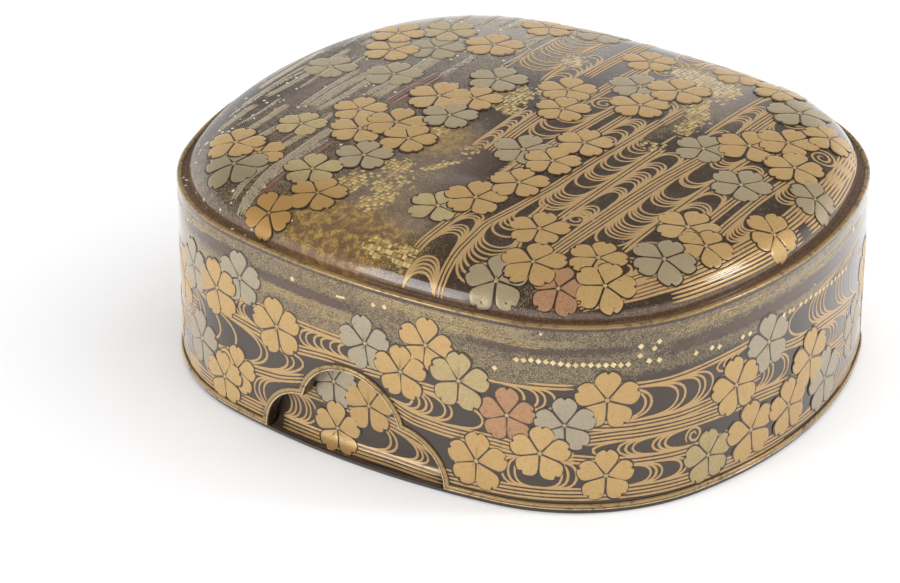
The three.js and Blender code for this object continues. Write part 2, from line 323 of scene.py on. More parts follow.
shoulder_turn = np.linspace(0, pi / 2, 91)
shoulder_inset = LEDGE_WIDTH + SHOULDER_WIDTH * (1 - np.cos(shoulder_turn))
shoulder_z = LEDGE_Z + SHOULDER_RISE * np.sin(shoulder_turn) + crown_at(shoulder_inset)
walked = np.concatenate([[0], np.cumsum(np.hypot(np.diff(shoulder_inset), np.diff(shoulder_z)))])
flat_inset = SHOULDER_END - (walked[-1] - walked)
ledge_flat = flat_inset[0] - LEDGE_WIDTH
SHOULDER_FLAT = np.concatenate([[ledge_flat], flat_inset])
SHOULDER_INSET = np.concatenate([[0], shoulder_inset])
SHOULDER_Z = np.concatenate([[LEDGE_Z], shoulder_z])


def ring_radius(angle, inset):
    east, north = np.abs(np.cos(angle)), np.abs(np.sin(angle))

    def hit(cx, cy, radius):
        along = east * cx + north * cy
        return along + np.sqrt(np.maximum(along**2 - (cx**2 + cy**2) + radius**2, 0))

    by_corner = hit(CORNER_X, CORNER_Y, CORNER_RADIUS - inset)
    turn = np.arctan2(by_corner * north - CORNER_Y, by_corner * east - CORNER_X)
    by_short = hit(SHORT_X, 0, SHORT_SIDE_RADIUS - inset)
    by_long = hit(0, LONG_Y, LONG_SIDE_RADIUS - inset)
    return np.where(turn < SIDE_TURN, by_short, np.where(turn > FRONT_TURN, by_long, by_corner))


def crown_z(x, y):
    share = np.hypot(x, y) / ring_radius(np.arctan2(y, x), SHOULDER_END)
    return LEDGE_Z + SHOULDER_RISE + crown_at(MEAN_HALF - share * (MEAN_HALF - SHOULDER_END))


def wrap_lid_top(flat_x, flat_y, height):
    flat, out_x, out_y = inset_at(flat_x, flat_y)
    real = np.where(flat < SHOULDER_END, np.interp(flat, SHOULDER_FLAT, SHOULDER_INSET), flat)
    x = flat_x + out_x * (flat - real)
    y = flat_y + out_y * (flat - real)
    z = np.where(flat < SHOULDER_END, np.interp(flat, SHOULDER_FLAT, SHOULDER_Z), crown_z(x, y))
    ahead = np.interp(flat + SLOPE_STEP, SHOULDER_FLAT, SHOULDER_Z)
    rise = (ahead - np.interp(flat - SLOPE_STEP, SHOULDER_FLAT, SHOULDER_Z)) / (2 * SLOPE_STEP)
    run = np.sqrt(np.maximum(1 - np.clip(rise, -1, 1) ** 2, 0.0))
    slope_x = (crown_z(x + SLOPE_STEP, y) - crown_z(x - SLOPE_STEP, y)) / (2 * SLOPE_STEP)
    slope_y = (crown_z(x, y + SLOPE_STEP) - crown_z(x, y - SLOPE_STEP)) / (2 * SLOPE_STEP)
    on_shoulder = flat < SHOULDER_END
    normal = np.stack([
        np.where(on_shoulder, out_x * rise, -slope_x),
        np.where(on_shoulder, out_y * rise, -slope_y),
        np.where(on_shoulder, run, 1.0),
    ], axis=-1)
    normal /= np.linalg.norm(normal, axis=-1, keepdims=True)
    return np.stack([x, y, z], axis=-1) + normal * np.asarray(height)[..., None]


def flat_from_plan(x, y):
    real, out_x, out_y = inset_at(x, y)
    flat = np.where(real < SHOULDER_END, np.interp(real, SHOULDER_INSET, SHOULDER_FLAT), real)
    return x - out_x * (flat - real), y - out_y * (flat - real)


print(f"shoulder: {walked[-1]:.2f} mm along the curve, top at {LEDGE_Z + SHOULDER_RISE + CROWN_RISE:.1f} mm")

# %% [markdown]
# Two effects that several finishes share are node groups. They read a place and some numbers, and put out
# masks. Gold dust is fine metal powder sprinkled on wet lacquer: each grain is one small cell of a Voronoi
# pattern with its own chance to be gold, and a soft noise gathers the grains a little, the way powder
# drifts. Wear is darker rubbed spots, made from two noises of different size, so that no two places look
# the same.

# %% Groups: gold dust and wear
DUST_DRIFT_SCALE = 700.0
FINE_WEAR = 9.0


def new_group(name, numbers, outputs):
    group = bpy.data.node_groups.new(name, "ShaderNodeTree")
    group.interface.new_socket(name="Vector", in_out="INPUT", socket_type="NodeSocketVector")
    for label, value in numbers.items():
        socket = group.interface.new_socket(name=label, in_out="INPUT", socket_type="NodeSocketFloat")
        socket.default_value = value
    for label in outputs:
        group.interface.new_socket(name=label, in_out="OUTPUT", socket_type="NodeSocketFloat")
    return group, group.nodes.new("NodeGroupInput").outputs, group.nodes.new("NodeGroupOutput").inputs


def noise_in(tree, place, scale, detail, roughness=0.5):
    inputs = {"Vector": place, "Scale": scale, "Detail": detail, "Roughness": roughness}
    return add_node(tree, "TexNoise", inputs).outputs["Fac"]


dust_group, given, result = new_group("gold_dust", {"Amount": 0.5, "Grain": 9500.0}, ["Mask", "Sparkle"])
grains = add_node(dust_group, "TexVoronoi", {"Vector": given["Vector"], "Scale": given["Grain"]})
chance = add_node(dust_group, "SeparateColor", {"Color": grains.outputs["Color"]}).outputs
drift = noise_in(dust_group, given["Vector"], DUST_DRIFT_SCALE, 3.0)
drifting = math_node(dust_group, "MULTIPLY_ADD", drift, 0.7, -0.35)
wanted = math_node(dust_group, "ADD", given["Amount"], drifting)
over = smooth_step(dust_group, math_node(dust_group, "SUBTRACT", wanted, chance["Red"]), 0.0, 0.25)
present = math_node(dust_group, "GREATER_THAN", given["Amount"], 0.01)
connect(dust_group, result["Mask"], math_node(dust_group, "MULTIPLY", over, present))
connect(dust_group, result["Sparkle"], chance["Green"])

wear_group, given, result = new_group("wear", {"Size": 180.0, "Share": 0.35}, ["Mask", "Tone"])
broad = noise_in(wear_group, given["Vector"], given["Size"], 5.0, 0.65)
fine = noise_in(wear_group, given["Vector"], math_node(wear_group, "MULTIPLY", given["Size"], FINE_WEAR), 2.0)
edge = math_node(wear_group, "SUBTRACT", given["Share"], math_node(wear_group, "MULTIPLY", broad, fine))
connect(wear_group, result["Mask"], smooth_step(wear_group, edge, 0.0, 0.12))
connect(wear_group, result["Tone"], broad)

# %% [markdown]
# The finishes. Every one lies under the same clear polished lacquer, so each material has a glossy coat
# over a rougher colour layer. Colours are written as the plain colour of the layer, in linear values. Lumps
# are a few hundredths of a millimetre high.

# %% Finishes
DARK_LACQUER = (0.030, 0.019, 0.012)
GOLD = (0.56, 0.377, 0.163)
DEEP_GOLD = (0.40, 0.235, 0.075)
PALE_GOLD = (0.53, 0.405, 0.20)
SILVER = (0.43, 0.355, 0.245)
OLD_SILVER = (0.41, 0.325, 0.195)
RED_GOLD = (0.47, 0.265, 0.135)
LINE_GOLD = (0.51, 0.335, 0.145)
BROWN_EDGE = (0.15, 0.075, 0.042)


def start_material(name, coat=1.0, coat_roughness=0.09):
    """A new material under a clear coat: the material, its nodes and the place on the piece."""
    material = bpy.data.materials.new(name)
    material.use_nodes = True
    tree = material.node_tree
    set_layers(tree, {"Coat Weight": coat, "Coat Roughness": coat_roughness, "Specular IOR Level": 0.12})
    return material, tree, add_node(tree, "TexCoord").outputs["Object"]


def use_group(tree, group, place, **numbers):
    return add_node(tree, "Group", {"Vector": place, **numbers}, node_tree=group).outputs


def value_of(tree, name):
    """A value that was stored on the mesh under this name."""
    return add_node(tree, "Attribute", attribute_name=name).outputs["Fac"]


def set_surface(tree, color, metal, rough, lump, lump_height, strength=1.0):
    bump = add_node(tree, "Bump", {"Height": lump, "Strength": strength, "Distance": lump_height})
    normal = bump.outputs["Normal"]
    set_layers(tree, {"Base Color": color, "Metallic": metal, "Roughness": rough, "Normal": normal})


def leaf_material(name, color, deep, metal, worn=0.17):
    """Metal leaf of the petals: grainy, deeper where its tone is high, rubbed through in spots."""
    material, tree, place = start_material(name, coat=0.5, coat_roughness=0.22)
    grain = use_group(tree, dust_group, place, Amount=0.4, Grain=5600.0)
    rub = use_group(tree, wear_group, place, Size=230.0, Share=worn)
    shown = blend_colors(tree, grain["Mask"], color, deep, 0.46)
    shown = blend_colors(tree, value_of(tree, "tone"), shown, deep, 0.5)
    shown = blend_colors(tree, rub["Mask"], shown, DARK_LACQUER, 0.45)
    rough = math_node(tree, "MULTIPLY_ADD", grain["Sparkle"], 0.16, 0.36)
    set_surface(tree, shown, metal, rough, grain["Mask"], 0.00003, 0.5)
    return material


def foil_material():
    material, tree, place = start_material("cut_foil", coat=0.5)
    dent = noise_in(tree, place, 1500.0, 2.0)
    shown = blend_colors(tree, value_of(tree, "tone"), (0.86, 0.72, 0.42), (0.70, 0.52, 0.25))
    shown = blend_colors(tree, dent, shown, DEEP_GOLD, 0.3)
    set_surface(tree, shown, 0.45, 0.3, dent, 0.00008)
    return material


def line_material():
    """Painted water lines: gold on top, reddish brown where the gold thins out at both edges."""
    material, tree, place = start_material("painted_gold_line", coat=0.6, coat_roughness=0.14)
    uneven = noise_in(tree, place, 900.0, 3.0)
    gilt = math_node(tree, "ADD", value_of(tree, "gilt"), math_node(tree, "MULTIPLY_ADD", uneven, 0.5, -0.25))
    body = smooth_step(tree, gilt, 0.76, 0.95)
    grain = use_group(tree, dust_group, place, Amount=0.45, Grain=5200.0)
    dusted = blend_colors(tree, grain["Mask"], LINE_GOLD, DEEP_GOLD, 0.28)
    shown = blend_colors(tree, body, BROWN_EDGE, dusted)
    set_surface(tree, shown, math_node(tree, "MULTIPLY", body, 0.35), 0.42, uneven, 0.00003)
    return material


def worn_line_material(name, color, deep, kept):
    """Old painted bands where the metal is rubbed thin, so the dark ground shows through in patches."""
    material, tree, place = start_material(name, coat=0.8, coat_roughness=0.12)
    grain = use_group(tree, dust_group, place, Amount=kept, Grain=9000.0)
    metal = math_node(tree, "MULTIPLY", grain["Mask"], 0.3)
    shown = blend_colors(tree, grain["Mask"], DARK_LACQUER, blend_colors(tree, grain["Sparkle"], color, deep))
    set_surface(tree, shown, metal, 0.45, grain["Mask"], 0.00002)
    return material


def black_material(name, color, sprinkle):
    """Plain dark lacquer; sprinkle is the share of gold powder under its surface."""
    material, tree, place = start_material(name, coat_roughness=0.08)
    grain = use_group(tree, dust_group, place, Amount=sprinkle, Grain=3000.0)
    rub = use_group(tree, wear_group, place, Size=60.0, Share=0.3)
    shown = blend_colors(tree, rub["Tone"], color, tuple(1.6 * part for part in color))
    shown = blend_colors(tree, rub["Mask"], shown, (0.085, 0.045, 0.03), 0.4)
    shown = blend_colors(tree, grain["Mask"], shown, DEEP_GOLD, 0.75)
    rough = math_node(tree, "MULTIPLY_ADD", rub["Mask"], 0.15, 0.32)
    set_surface(tree, shown, 0.0, rough, rub["Tone"], 0.00004)
    return material


def cell_marks(tree, place, wanted, scale, edge, core, **settings):
    """Marks in the cells of a pattern, in the share of cells that a mask wants, and a tone for each cell."""
    inputs = {"Vector": place, "Scale": scale, "Randomness": settings.pop("randomness", 1.0)}
    cells = add_node(tree, "TexVoronoi", inputs, **settings).outputs
    tone = add_node(tree, "SeparateColor", {"Color": cells["Color"]}).outputs
    chosen = math_node(tree, "GREATER_THAN", wanted, tone["Red"])
    shape = smooth_step(tree, cells["Distance"], edge, core)
    return math_node(tree, "MULTIPLY", shape, chosen), tone["Green"]


def ground_material():
    """The decorated ground: dark lacquer with gold dust, foil mosaic and pale dots where the masks say."""
    material, tree, place = start_material("decorated_ground")
    masks = ("dust", "foil", "speck", "rust", "bronze", "veil", "dull")
    mask = {name: value_of(tree, name) for name in masks}
    rub = use_group(tree, wear_group, place, Size=120.0, Share=0.3)
    grain = use_group(tree, dust_group, place, Amount=mask["dust"])
    clouds = smooth_step(tree, noise_in(tree, place, 620.0, 4.0, 0.7), 0.42, 0.62)
    powder = blend_colors(tree, grain["Sparkle"], (0.24, 0.165, 0.07), (0.42, 0.33, 0.19))
    bronze = blend_colors(tree, clouds, (0.20, 0.115, 0.05), (0.47, 0.29, 0.08))
    powder = blend_colors(tree, mask["bronze"], powder, bronze)
    shown = blend_colors(tree, rub["Tone"], (0.026, 0.016, 0.0095), (0.062, 0.040, 0.024))
    shown = blend_colors(tree, mask["veil"], shown, (0.150, 0.112, 0.092))
    shown = blend_colors(tree, grain["Mask"], shown, powder, 0.9)
    shown = blend_colors(tree, mask["rust"], shown, (0.20, 0.095, 0.055))
    chips, chip_tone = cell_marks(
        tree, place, mask["foil"], 1150.0, 0.47, 0.36, randomness=0.35, distance="CHEBYCHEV",
    )
    dots, _ = cell_marks(tree, place, mask["speck"], 900.0, 0.34, 0.2)
    foil = blend_colors(tree, chip_tone, (0.40, 0.25, 0.075), (0.78, 0.58, 0.24))
    shown = blend_colors(tree, dots, blend_colors(tree, chips, shown, foil), (0.66, 0.60, 0.47))
    gilt = math_node(tree, "MAXIMUM", math_node(tree, "MULTIPLY", grain["Mask"], 0.4), chips)
    metal = math_node(tree, "MULTIPLY", gilt, 0.4)
    rough = math_node(tree, "MULTIPLY_ADD", gilt, 0.12, 0.3)
    lump = math_node(tree, "MULTIPLY_ADD", grain["Mask"], 0.4, chips)
    set_surface(tree, shown, metal, rough, lump, 0.00005, 0.6)
    set_layers(tree, {"Coat Weight": math_node(tree, "MULTIPLY_ADD", mask["dull"], -0.8, 1.0)})
    return material


def edge_material():
    """The raised gold edges: rubbed olive gold over brown, darker in rubbed spots, with a painted highlight
    where the stored painted light value is high and painted shade where it is low.
    """
    material, tree, place = start_material("gold_edge", coat=0.5, coat_roughness=0.14)
    rub = use_group(tree, wear_group, place, Size=110.0, Share=0.25)
    grain = use_group(tree, dust_group, place, Amount=0.5)
    painted_light = value_of(tree, "painted_light")
    shown = blend_colors(tree, rub["Tone"], (0.35, 0.22, 0.09), (0.50, 0.345, 0.15))
    # Painted highlight where the painted light value is high, painted shade where it is low.
    shown = blend_colors(tree, smooth_step(tree, painted_light, 0.65, 1.0), shown, (0.80, 0.64, 0.36))
    shown = blend_colors(tree, smooth_step(tree, painted_light, 0.3, 0.0), shown, (0.10, 0.06, 0.035))
    shown = blend_colors(tree, grain["Mask"], shown, (0.20, 0.12, 0.05), 0.35)
    shown = blend_colors(tree, rub["Mask"], shown, (0.09, 0.05, 0.03), 0.7)
    rough = math_node(tree, "MULTIPLY_ADD", rub["Mask"], 0.2, 0.3)
    set_surface(tree, shown, 0.45, rough, grain["Mask"], 0.00004, 0.6)
    return material


gold_leaf = leaf_material("gold_leaf", GOLD, (0.42, 0.235, 0.07), 0.35)
silver_leaf = leaf_material("silver_leaf", SILVER, (0.29, 0.25, 0.175), 0.3)
old_silver_leaf = leaf_material("old_silver_leaf", OLD_SILVER, (0.28, 0.225, 0.13), 0.3)
pale_leaf = leaf_material("pale_gold_leaf", PALE_GOLD, (0.30, 0.21, 0.09), 0.35)
red_leaf = leaf_material("red_gold_leaf", RED_GOLD, (0.27, 0.125, 0.065), 0.3, worn=0.2)
cut_foil = foil_material()
painted_line = line_material()
worn_pale_band = worn_line_material("worn_pale_band", (0.46, 0.375, 0.24), (0.31, 0.24, 0.145), 0.97)
worn_red_band = worn_line_material("worn_red_band", (0.27, 0.13, 0.075), (0.17, 0.08, 0.045), 0.92)
worn_gold_band = worn_line_material("worn_gold_band", (0.46, 0.34, 0.155), (0.30, 0.21, 0.09), 0.86)
worn_white_dots = worn_line_material("worn_white_dots", (0.62, 0.56, 0.42), (0.45, 0.38, 0.25), 0.62)
plain_black = black_material("black_lacquer", DARK_LACQUER, 0.0)
sprinkled_black = black_material("sprinkled_lacquer", (0.045, 0.028, 0.018), 0.16)
decorated_ground = ground_material()
gold_edge = edge_material()
print("finishes:", len(bpy.data.materials))

# %% [markdown]
# Most pieces of the box are rings: a section that runs round the oval. A flat grid is made with one row for
# each ring, its points are moved to their places, and the edges that meet are merged. That keeps every ring
# in step with the next. A ring that shrinks to a point closes a cap.

# %% Mesh helpers
def net_of_rings(rings, closed, row_values=None):
    rows = [*rings, rings[0]] if closed else list(rings)
    values = [*row_values, row_values[0]] if row_values and closed else row_values
    count = len(rows[0])
    bm = bmesh.new()
    bmesh.ops.create_grid(bm, x_segments=count, y_segments=len(rows) - 1, size=1)
    bm.verts.ensure_lookup_table()
    layer = bm.verts.layers.float.new("painted_light") if row_values else None
    for row_index, row in enumerate(rows):
        for step in range(count + 1):
            vert = bm.verts[row_index * (count + 1) + step]
            vert.co = Vector(row[step % count]) * MM
            if layer:
                vert[layer] = values[row_index]
    bmesh.ops.remove_doubles(bm, verts=bm.verts, dist=1e-7)
    return bm


def finish_piece(bm, name, materials, body, sharp=32.0, replaces=()):
    bmesh.ops.recalc_face_normals(bm, faces=bm.faces)
    for face in bm.faces:
        face.smooth = True
    for bent in bm.edges:
        if len(bent.link_faces) == 2 and bent.calc_face_angle() > radians(sharp):
            bent.smooth = False
    mesh = bpy.data.meshes.new(name)
    bm.to_mesh(mesh)
    bm.free()
    piece = bpy.data.objects.new(name, mesh)
    scene.collection.objects.link(piece)
    for material in materials:
        mesh.materials.append(material)
    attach(piece, body)
    if replaces:
        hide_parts(*replaces)
    triangles = sum(len(face.vertices) - 2 for face in mesh.polygons)
    print(f"{name}: {triangles} triangles")
    return piece


STEPS_ROUND = 388
ROUND = np.arange(STEPS_ROUND) * (PERIMETER / STEPS_ROUND)


def round_ring(inset, z, scale=1.0):
    x, y = outline(ROUND, -inset)
    return np.stack([x * scale, y * scale, np.full_like(x, z)], axis=-1)


def place_rings(profile):
    return [round_ring(*row) for row in profile]


def give_finish(piece, index, wanted):
    """Give the finish at this index to the faces whose centre and normal pass the test."""
    for face in piece.data.polygons:
        if wanted(face.center / MM, face.normal):
            face.material_index = index


# %% [markdown]
# These helpers paint the places of the decoration into a mesh. A value is stored at each point, such as how
# much gold dust lies there, and the finish reads it by name. A soft patch is an ellipse that fades out at
# its rim.

# %% Painting helpers
def store_value(piece, name, values):
    layer = piece.data.attributes.new(name, "FLOAT", "POINT")
    layer.data.foreach_set("value", np.asarray(values, np.float32))


def mesh_points(piece):
    flat = np.empty(3 * len(piece.data.vertices))
    piece.data.vertices.foreach_get("co", flat)
    return flat.reshape(-1, 3) / MM


def wrap_piece(piece, wrap):
    """Move a piece that was made flat to its place on the box. Gives its points, in millimetres."""
    placed = wrap(*mesh_points(piece).T)
    piece.data.vertices.foreach_set("co", (placed * MM).astype(np.float32).ravel())
    piece.data.update()
    return placed


def store_blank(piece):
    for name in ("dust", "foil", "speck", "rust", "bronze"):
        store_value(piece, name, np.zeros(len(piece.data.vertices)))


def soft_patch(x, y, middle_x, middle_y, half_x, half_y, turn_degrees=0.0, fade=0.35):
    turn = radians(turn_degrees)
    across = (x - middle_x) * cos(turn) + (y - middle_y) * sin(turn)
    up = (y - middle_y) * cos(turn) - (x - middle_x) * sin(turn)
    far = np.hypot(across / half_x, up / half_y)
    return np.clip((1 + fade - far) / (2 * fade), 0, 1)


def band(value, low, high, fade):
    return np.clip((value - low) / fade + 0.5, 0, 1) * np.clip((high - value) / fade + 0.5, 0, 1)


def drift_noise(a, b, seed):
    """A smooth wandering value between 0 and 1, made of a few crossed waves."""
    waves = np.random.default_rng(seed).uniform(0.4, 1.6, (6, 3))
    total = sum(np.sin(a * p + b * q + 6.3 * r) for p, q, r in waves)
    return 0.5 + total / 12


# %% [markdown]
# The lid top is one turned-up board. Its rings follow the ledge, the shoulder and the crown, and then
# return along the hollow underside. The crown is an oval that shrinks evenly to the middle, so its rings
# are scaled copies.

# %% Lid top board
SHOULDER_RINGS = 18
CROWN_RINGS = 56
UNDERSIDE_CROWN_RINGS = 14
shoulder_rows = []
for step in np.linspace(0, 1, SHOULDER_RINGS):
    flat_here = SHOULDER_FLAT[1] + step * (SHOULDER_END - SHOULDER_FLAT[1])
    shoulder_rows.append([np.interp(flat_here, SHOULDER_FLAT, table) for table in (SHOULDER_INSET, SHOULDER_Z)])
top_z = LEDGE_Z + SHOULDER_RISE


def crown_rows(ring_count, base_z):
    rows = []
    for share in np.linspace(1, 0, ring_count + 1)[1:]:
        rows.append((SHOULDER_END, base_z + crown_at(MEAN_HALF - share * (MEAN_HALF - SHOULDER_END)), share))
    return rows


land = LID_WALL_THICKNESS + UNDERSIDE_LAND
hollow_rise = LEDGE_Z - LID_TOP_Z + SHOULDER_RISE - BOARD_THICKNESS
under_rows = []
for turn_here in np.linspace(0, pi / 2, 9):
    inset_here = land + (SHOULDER_END - land) * (1 - cos(turn_here))
    height_here = hollow_rise * sin(turn_here) + crown_at(inset_here) - crown_at(land) * cos(turn_here)
    under_rows.append((inset_here, LID_TOP_Z + height_here))
profile = [(0, LID_TOP_Z), (0, LEDGE_Z), *shoulder_rows, *crown_rows(CROWN_RINGS, top_z)]
under_profile = [*under_rows, *crown_rows(UNDERSIDE_CROWN_RINGS, LID_TOP_Z + hollow_rise)]
bm = net_of_rings(place_rings(under_profile[::-1] + profile), closed=False)
top_finishes = [decorated_ground, plain_black]
lid_top = finish_piece(bm, "domed_lid_top", top_finishes, "lid", replaces=["lid_top_board"])
give_finish(lid_top, 1, lambda centre, normal: normal.z < -0.2 and centre.z < 45)

# %% [markdown]
# The masks of the lid top. The left end was once striped with rubbed water bands, now worn to broad soft
# stripes. Along the back left runs a cloud of fine dust, and some fields between the rivers are set with
# cut foil. A row of a field is its middle, its two half sizes and its turn in degrees, and in some tables a
# strength.

# %% Lid top masks
FOIL_FIELDS = [
    (-13, -30, 2.6, 5, 10), (-7, -33, 3.6, 3.6, 0), (-5.5, -39, 2.4, 4, -20), (-13.5, -37, 2.5, 4, 0),
    (-1, -16.5, 1.6, 2.8, 30), (-2.5, -22.5, 1, 4, -30), (-7, 9, 2.6, 4, 30), (-9, 11, 2.2, 3, 30),
    (-5.5, 3, 2, 3, 45), (-8, 4, 3, 2.5, 45), (24.3, 5, 2.2, 2, 0), (20, 28, 3, 5, 30), (17, 36, 5, 6, 40),
    (24, 22, 2.5, 4, 30), (25.5, 16, 2, 4, 10), (12, 38, 3, 3, 0), (21.5, 34, 4, 5, 30), (8, -50, 2.5, 2, 0),
    (3, -50, 3, 1.5, 0), (-11, -12, 1.5, 3, 20), (-8, 30, 2.4, 4, 20),
    (-14, -26.5, 2.2, 3.6, 10), (-9, -27.5, 2.2, 2.6, 0), (-3.6, 13, 2, 3, 30), (-10.5, 6.5, 2, 3, 30),
]
DUST_FIELDS = [
    (-8, -14.5, 5, 7, 20, 1.1), (-6, -34, 9, 7, 0, 0.4), (-8, -15, 6, 9, 0, 0.75), (-10, -45, 9, 5, 0, 0.9),
    (-2, -38, 4, 9, 0, 0.5), (-3, -27, 4, 5, 0, 0.5), (2, -46, 5, 5, 0, 0.6), (22, 12, 3, 8, -20, 0.4),
    (18, 42, 9, 7, 0, 0.5), (24, 28, 6, 14, 25, 0.35), (-12, 34, 8, 16, 0, 0.5),
    (-30, -38, 12, 8, 30, 0.35), (-30, 34, 16, 12, -30, 0.5), (34, -45, 8, 6, 30, 0.3),
]
STRIPES = [
    (-41.6, 1.5, -30, 12, 0.35), (-37.8, 1.2, -14, 12, 0.45), (-29, 1.1, -48, -22, 0.45),
    (-44, 1.0, 8, 30, 0.4), (-38, 1.2, 14, 38, 0.45), (-31, 1.2, 30, 46, 0.4), (-54, 1.0, -14, 12, 0.4),
    (-31, 1.2, -6, 16, 0.5),
]
RUST_STRIPES = [(-25.5, 0.9, -10, 10, 0.5), (-25.8, 0.9, -50, -25, 0.5), (-43.2, 0.9, -26, 4, 0.3)]
BRONZE_FIELDS = [
    (-6, -48.5, 16, 9, 0, 0.4, 1.0), (-8, -14.5, 6, 8, 20, 0.4, 0.65), (-50, -24, 12, 22, 0, 0.5, 0.55),
]
VEILS = [(-8, -29, 5, 2.4), (1.5, -26, 5, 2.5), (3, -43, 5, 4), (-36, 30, 14, 12), (22, 30, 9, 13)]
STAIN = (3.8, 41.7, 3.4, 2.4, 10, 0.15)
BARE_PATCH = (-53, -20, 9, 24, -15, 0.5)

points = mesh_points(lid_top)
plan_x, plan_y = points[:, 0], points[:, 1]
wander = drift_noise(plan_x * 0.25, plan_y * 0.25, 3)
sway = 0.35 * np.sin(plan_y * 0.16) + 0.2 * np.sin(plan_y * 0.37 + 1)
on_ledge = inset_at(plan_x, plan_y)[0] < LEDGE_WIDTH + 0.3


def stripe_at(x, half, low, high, fade):
    return np.clip(1.5 - np.abs(plan_x + sway - x) / half, 0, 1) * band(plan_y, low, high, fade)


def patch_at(*field):
    return soft_patch(plan_x, plan_y, *field)


def strongest(*layers):
    return np.max(np.broadcast_arrays(*layers), axis=0)


bronze = [strength * patch_at(*field) for *field, strength in BRONZE_FIELDS]
dust = strongest(
    0.08 + 0.06 * wander, (0.30 + 0.25 * wander) * band(plan_x, -64, -13, 8),
    0.95 * bronze[0], 0.30 * on_ledge,
    *(strength * patch_at(*field, 0.5) for *field, strength in DUST_FIELDS),
    *(strength * stripe_at(*row, 6) * (0.7 + 0.6 * wander) for *row, strength in STRIPES),
)
rust = [strength * stripe_at(*row, 5) for *row, strength in RUST_STRIPES]
veil = [0.9 * patch_at(*field, 20, 0.4) for field in VEILS]
lid_masks = {
    "dust": dust * (1 - 0.65 * patch_at(*BARE_PATCH)),
    "dull": band(plan_x, -70, -46, 8) * band(plan_y, -60, 24, 20),
    "veil": strongest(0.75 * patch_at(-6, -28, 10, 19, 0, 0.4), *veil),
    "foil": strongest(*(1.05 * patch_at(*field, 0.25) for field in FOIL_FIELDS)),
    "speck": 0.16 * band(plan_x, -62, -16, 6) * (0.5 + wander),
    "rust": strongest(*rust, patch_at(*STAIN), 0.35 * on_ledge),
    "bronze": strongest(*bronze),
}
for name, values in lid_masks.items():
    store_value(lid_top, name, values * (points[:, 2] > LEDGE_Z - 0.1))
print("dusted share of the lid top:", round(float((lid_masks["dust"] > 0.3).mean()), 2))

# %% [markdown]
# The lid wall is a bent hoop. Each level is a ring, but the lowest one climbs over the finger notches, and
# the levels above it squeeze together there. The columns stand closer at a notch, where its outline turns
# fast. The notch is cut straight through, so the inner face repeats it at the same x.

# %% Notch outline and columns
CUSP_ANGLE = 1.503
NOTCH_STEPS = 14
NOTCH_EASE = 20
COLUMN_PITCH = 0.95


def notch_height(along):
    """Height of the notch above the wall's lower edge, zero outside the notch."""
    near = np.abs(along)
    from_side = SIDE_LOBE_RADIUS**2 - (near - SIDE_LOBE_OFFSET) ** 2
    side = np.where(from_side > 0, np.sqrt(np.maximum(from_side, 0)), 0)
    from_main = MAIN_LOBE_RADIUS**2 - near**2
    main = np.where(from_main > 0, MAIN_LOBE_Z - FOOT_HEIGHT + np.sqrt(np.maximum(from_main, 0)), 0)
    return np.maximum(side, main)


def notch_columns():
    side = SIDE_LOBE_OFFSET + SIDE_LOBE_RADIUS * np.cos(np.linspace(0, CUSP_ANGLE, NOTCH_STEPS))
    main_start = np.arcsin(side[-1] / MAIN_LOBE_RADIUS)
    main = MAIN_LOBE_RADIUS * np.sin(np.linspace(main_start, 0, NOTCH_STEPS + 1)[1:])
    half = np.concatenate([side, main])
    return np.concatenate([-half, half[-2::-1]])


def all_columns():
    notch = notch_columns()
    between = np.arange(notch[-1] + 0.9, PERIMETER / 2 - notch[-1] - 0.5, COLUMN_PITCH)
    front_and_right = np.concatenate([notch, between])
    return np.concatenate([front_and_right, front_and_right + PERIMETER / 2])


def from_notch(along):
    """Distance along the outline from the middle of the nearer notch."""
    return np.mod(along + PERIMETER / 4, PERIMETER / 2) - PERIMETER / 4


COLUMNS = all_columns()
FROM_NOTCH = from_notch(COLUMNS)
NOTCH_AT = notch_height(FROM_NOTCH)


def wall_ring(share, inset):
    """A ring at a share of the way up the wall, standing on the notch where there is one."""
    bottom = FOOT_HEIGHT + NOTCH_AT
    radius = LONG_SIDE_RADIUS - inset
    lean = LONG_SIDE_RADIUS * np.sin(FROM_NOTCH / LONG_SIDE_RADIUS) / radius
    same_x = radius * np.arcsin(np.clip(lean, -1, 1))
    shift = same_x * LONG_SIDE_RADIUS / radius - FROM_NOTCH
    ease = np.clip(2 - np.abs(FROM_NOTCH) / NOTCH_EASE, 0, 1)
    x, y = outline(COLUMNS + shift * ease, -inset)
    return np.stack([x, y, bottom + share * (LID_TOP_Z - bottom)], axis=-1)


# %% Lid wall
OUTER_LEVELS = 62
INNER_LEVELS = 7
rings = [wall_ring(share, 0) for share in np.linspace(0, 1, OUTER_LEVELS)]
rings += [wall_ring(share, LID_WALL_THICKNESS) for share in np.linspace(1, 0, INNER_LEVELS)]
bm = net_of_rings(rings, closed=True)
wall_finishes = [decorated_ground, plain_black, sprinkled_black]
lid_wall = finish_piece(bm, "oval_lid_wall", wall_finishes, "lid", replaces=["lid_wall"])


def outward(centre):
    inset, out_x, out_y = inset_at(np.array([centre.x]), np.array([centre.y]))
    return inset[0], out_x[0], out_y[0]


def faces_in(centre, normal):
    inset, out_x, out_y = outward(centre)
    return normal.x * out_x + normal.y * out_y < -0.4 or inset > 2.0


def cut_edge(centre, normal):
    return normal.z < -0.35 or 0.1 < outward(centre)[0] <= 2.0


give_finish(lid_wall, 1, faces_in)
give_finish(lid_wall, 2, cut_edge)

# %% [markdown]
# On the wall a mist of gold dust hangs down from the rim. It is drawn in long level streaks, some bare and
# some dense, and its lower edge rises and falls in slow waves over the water.

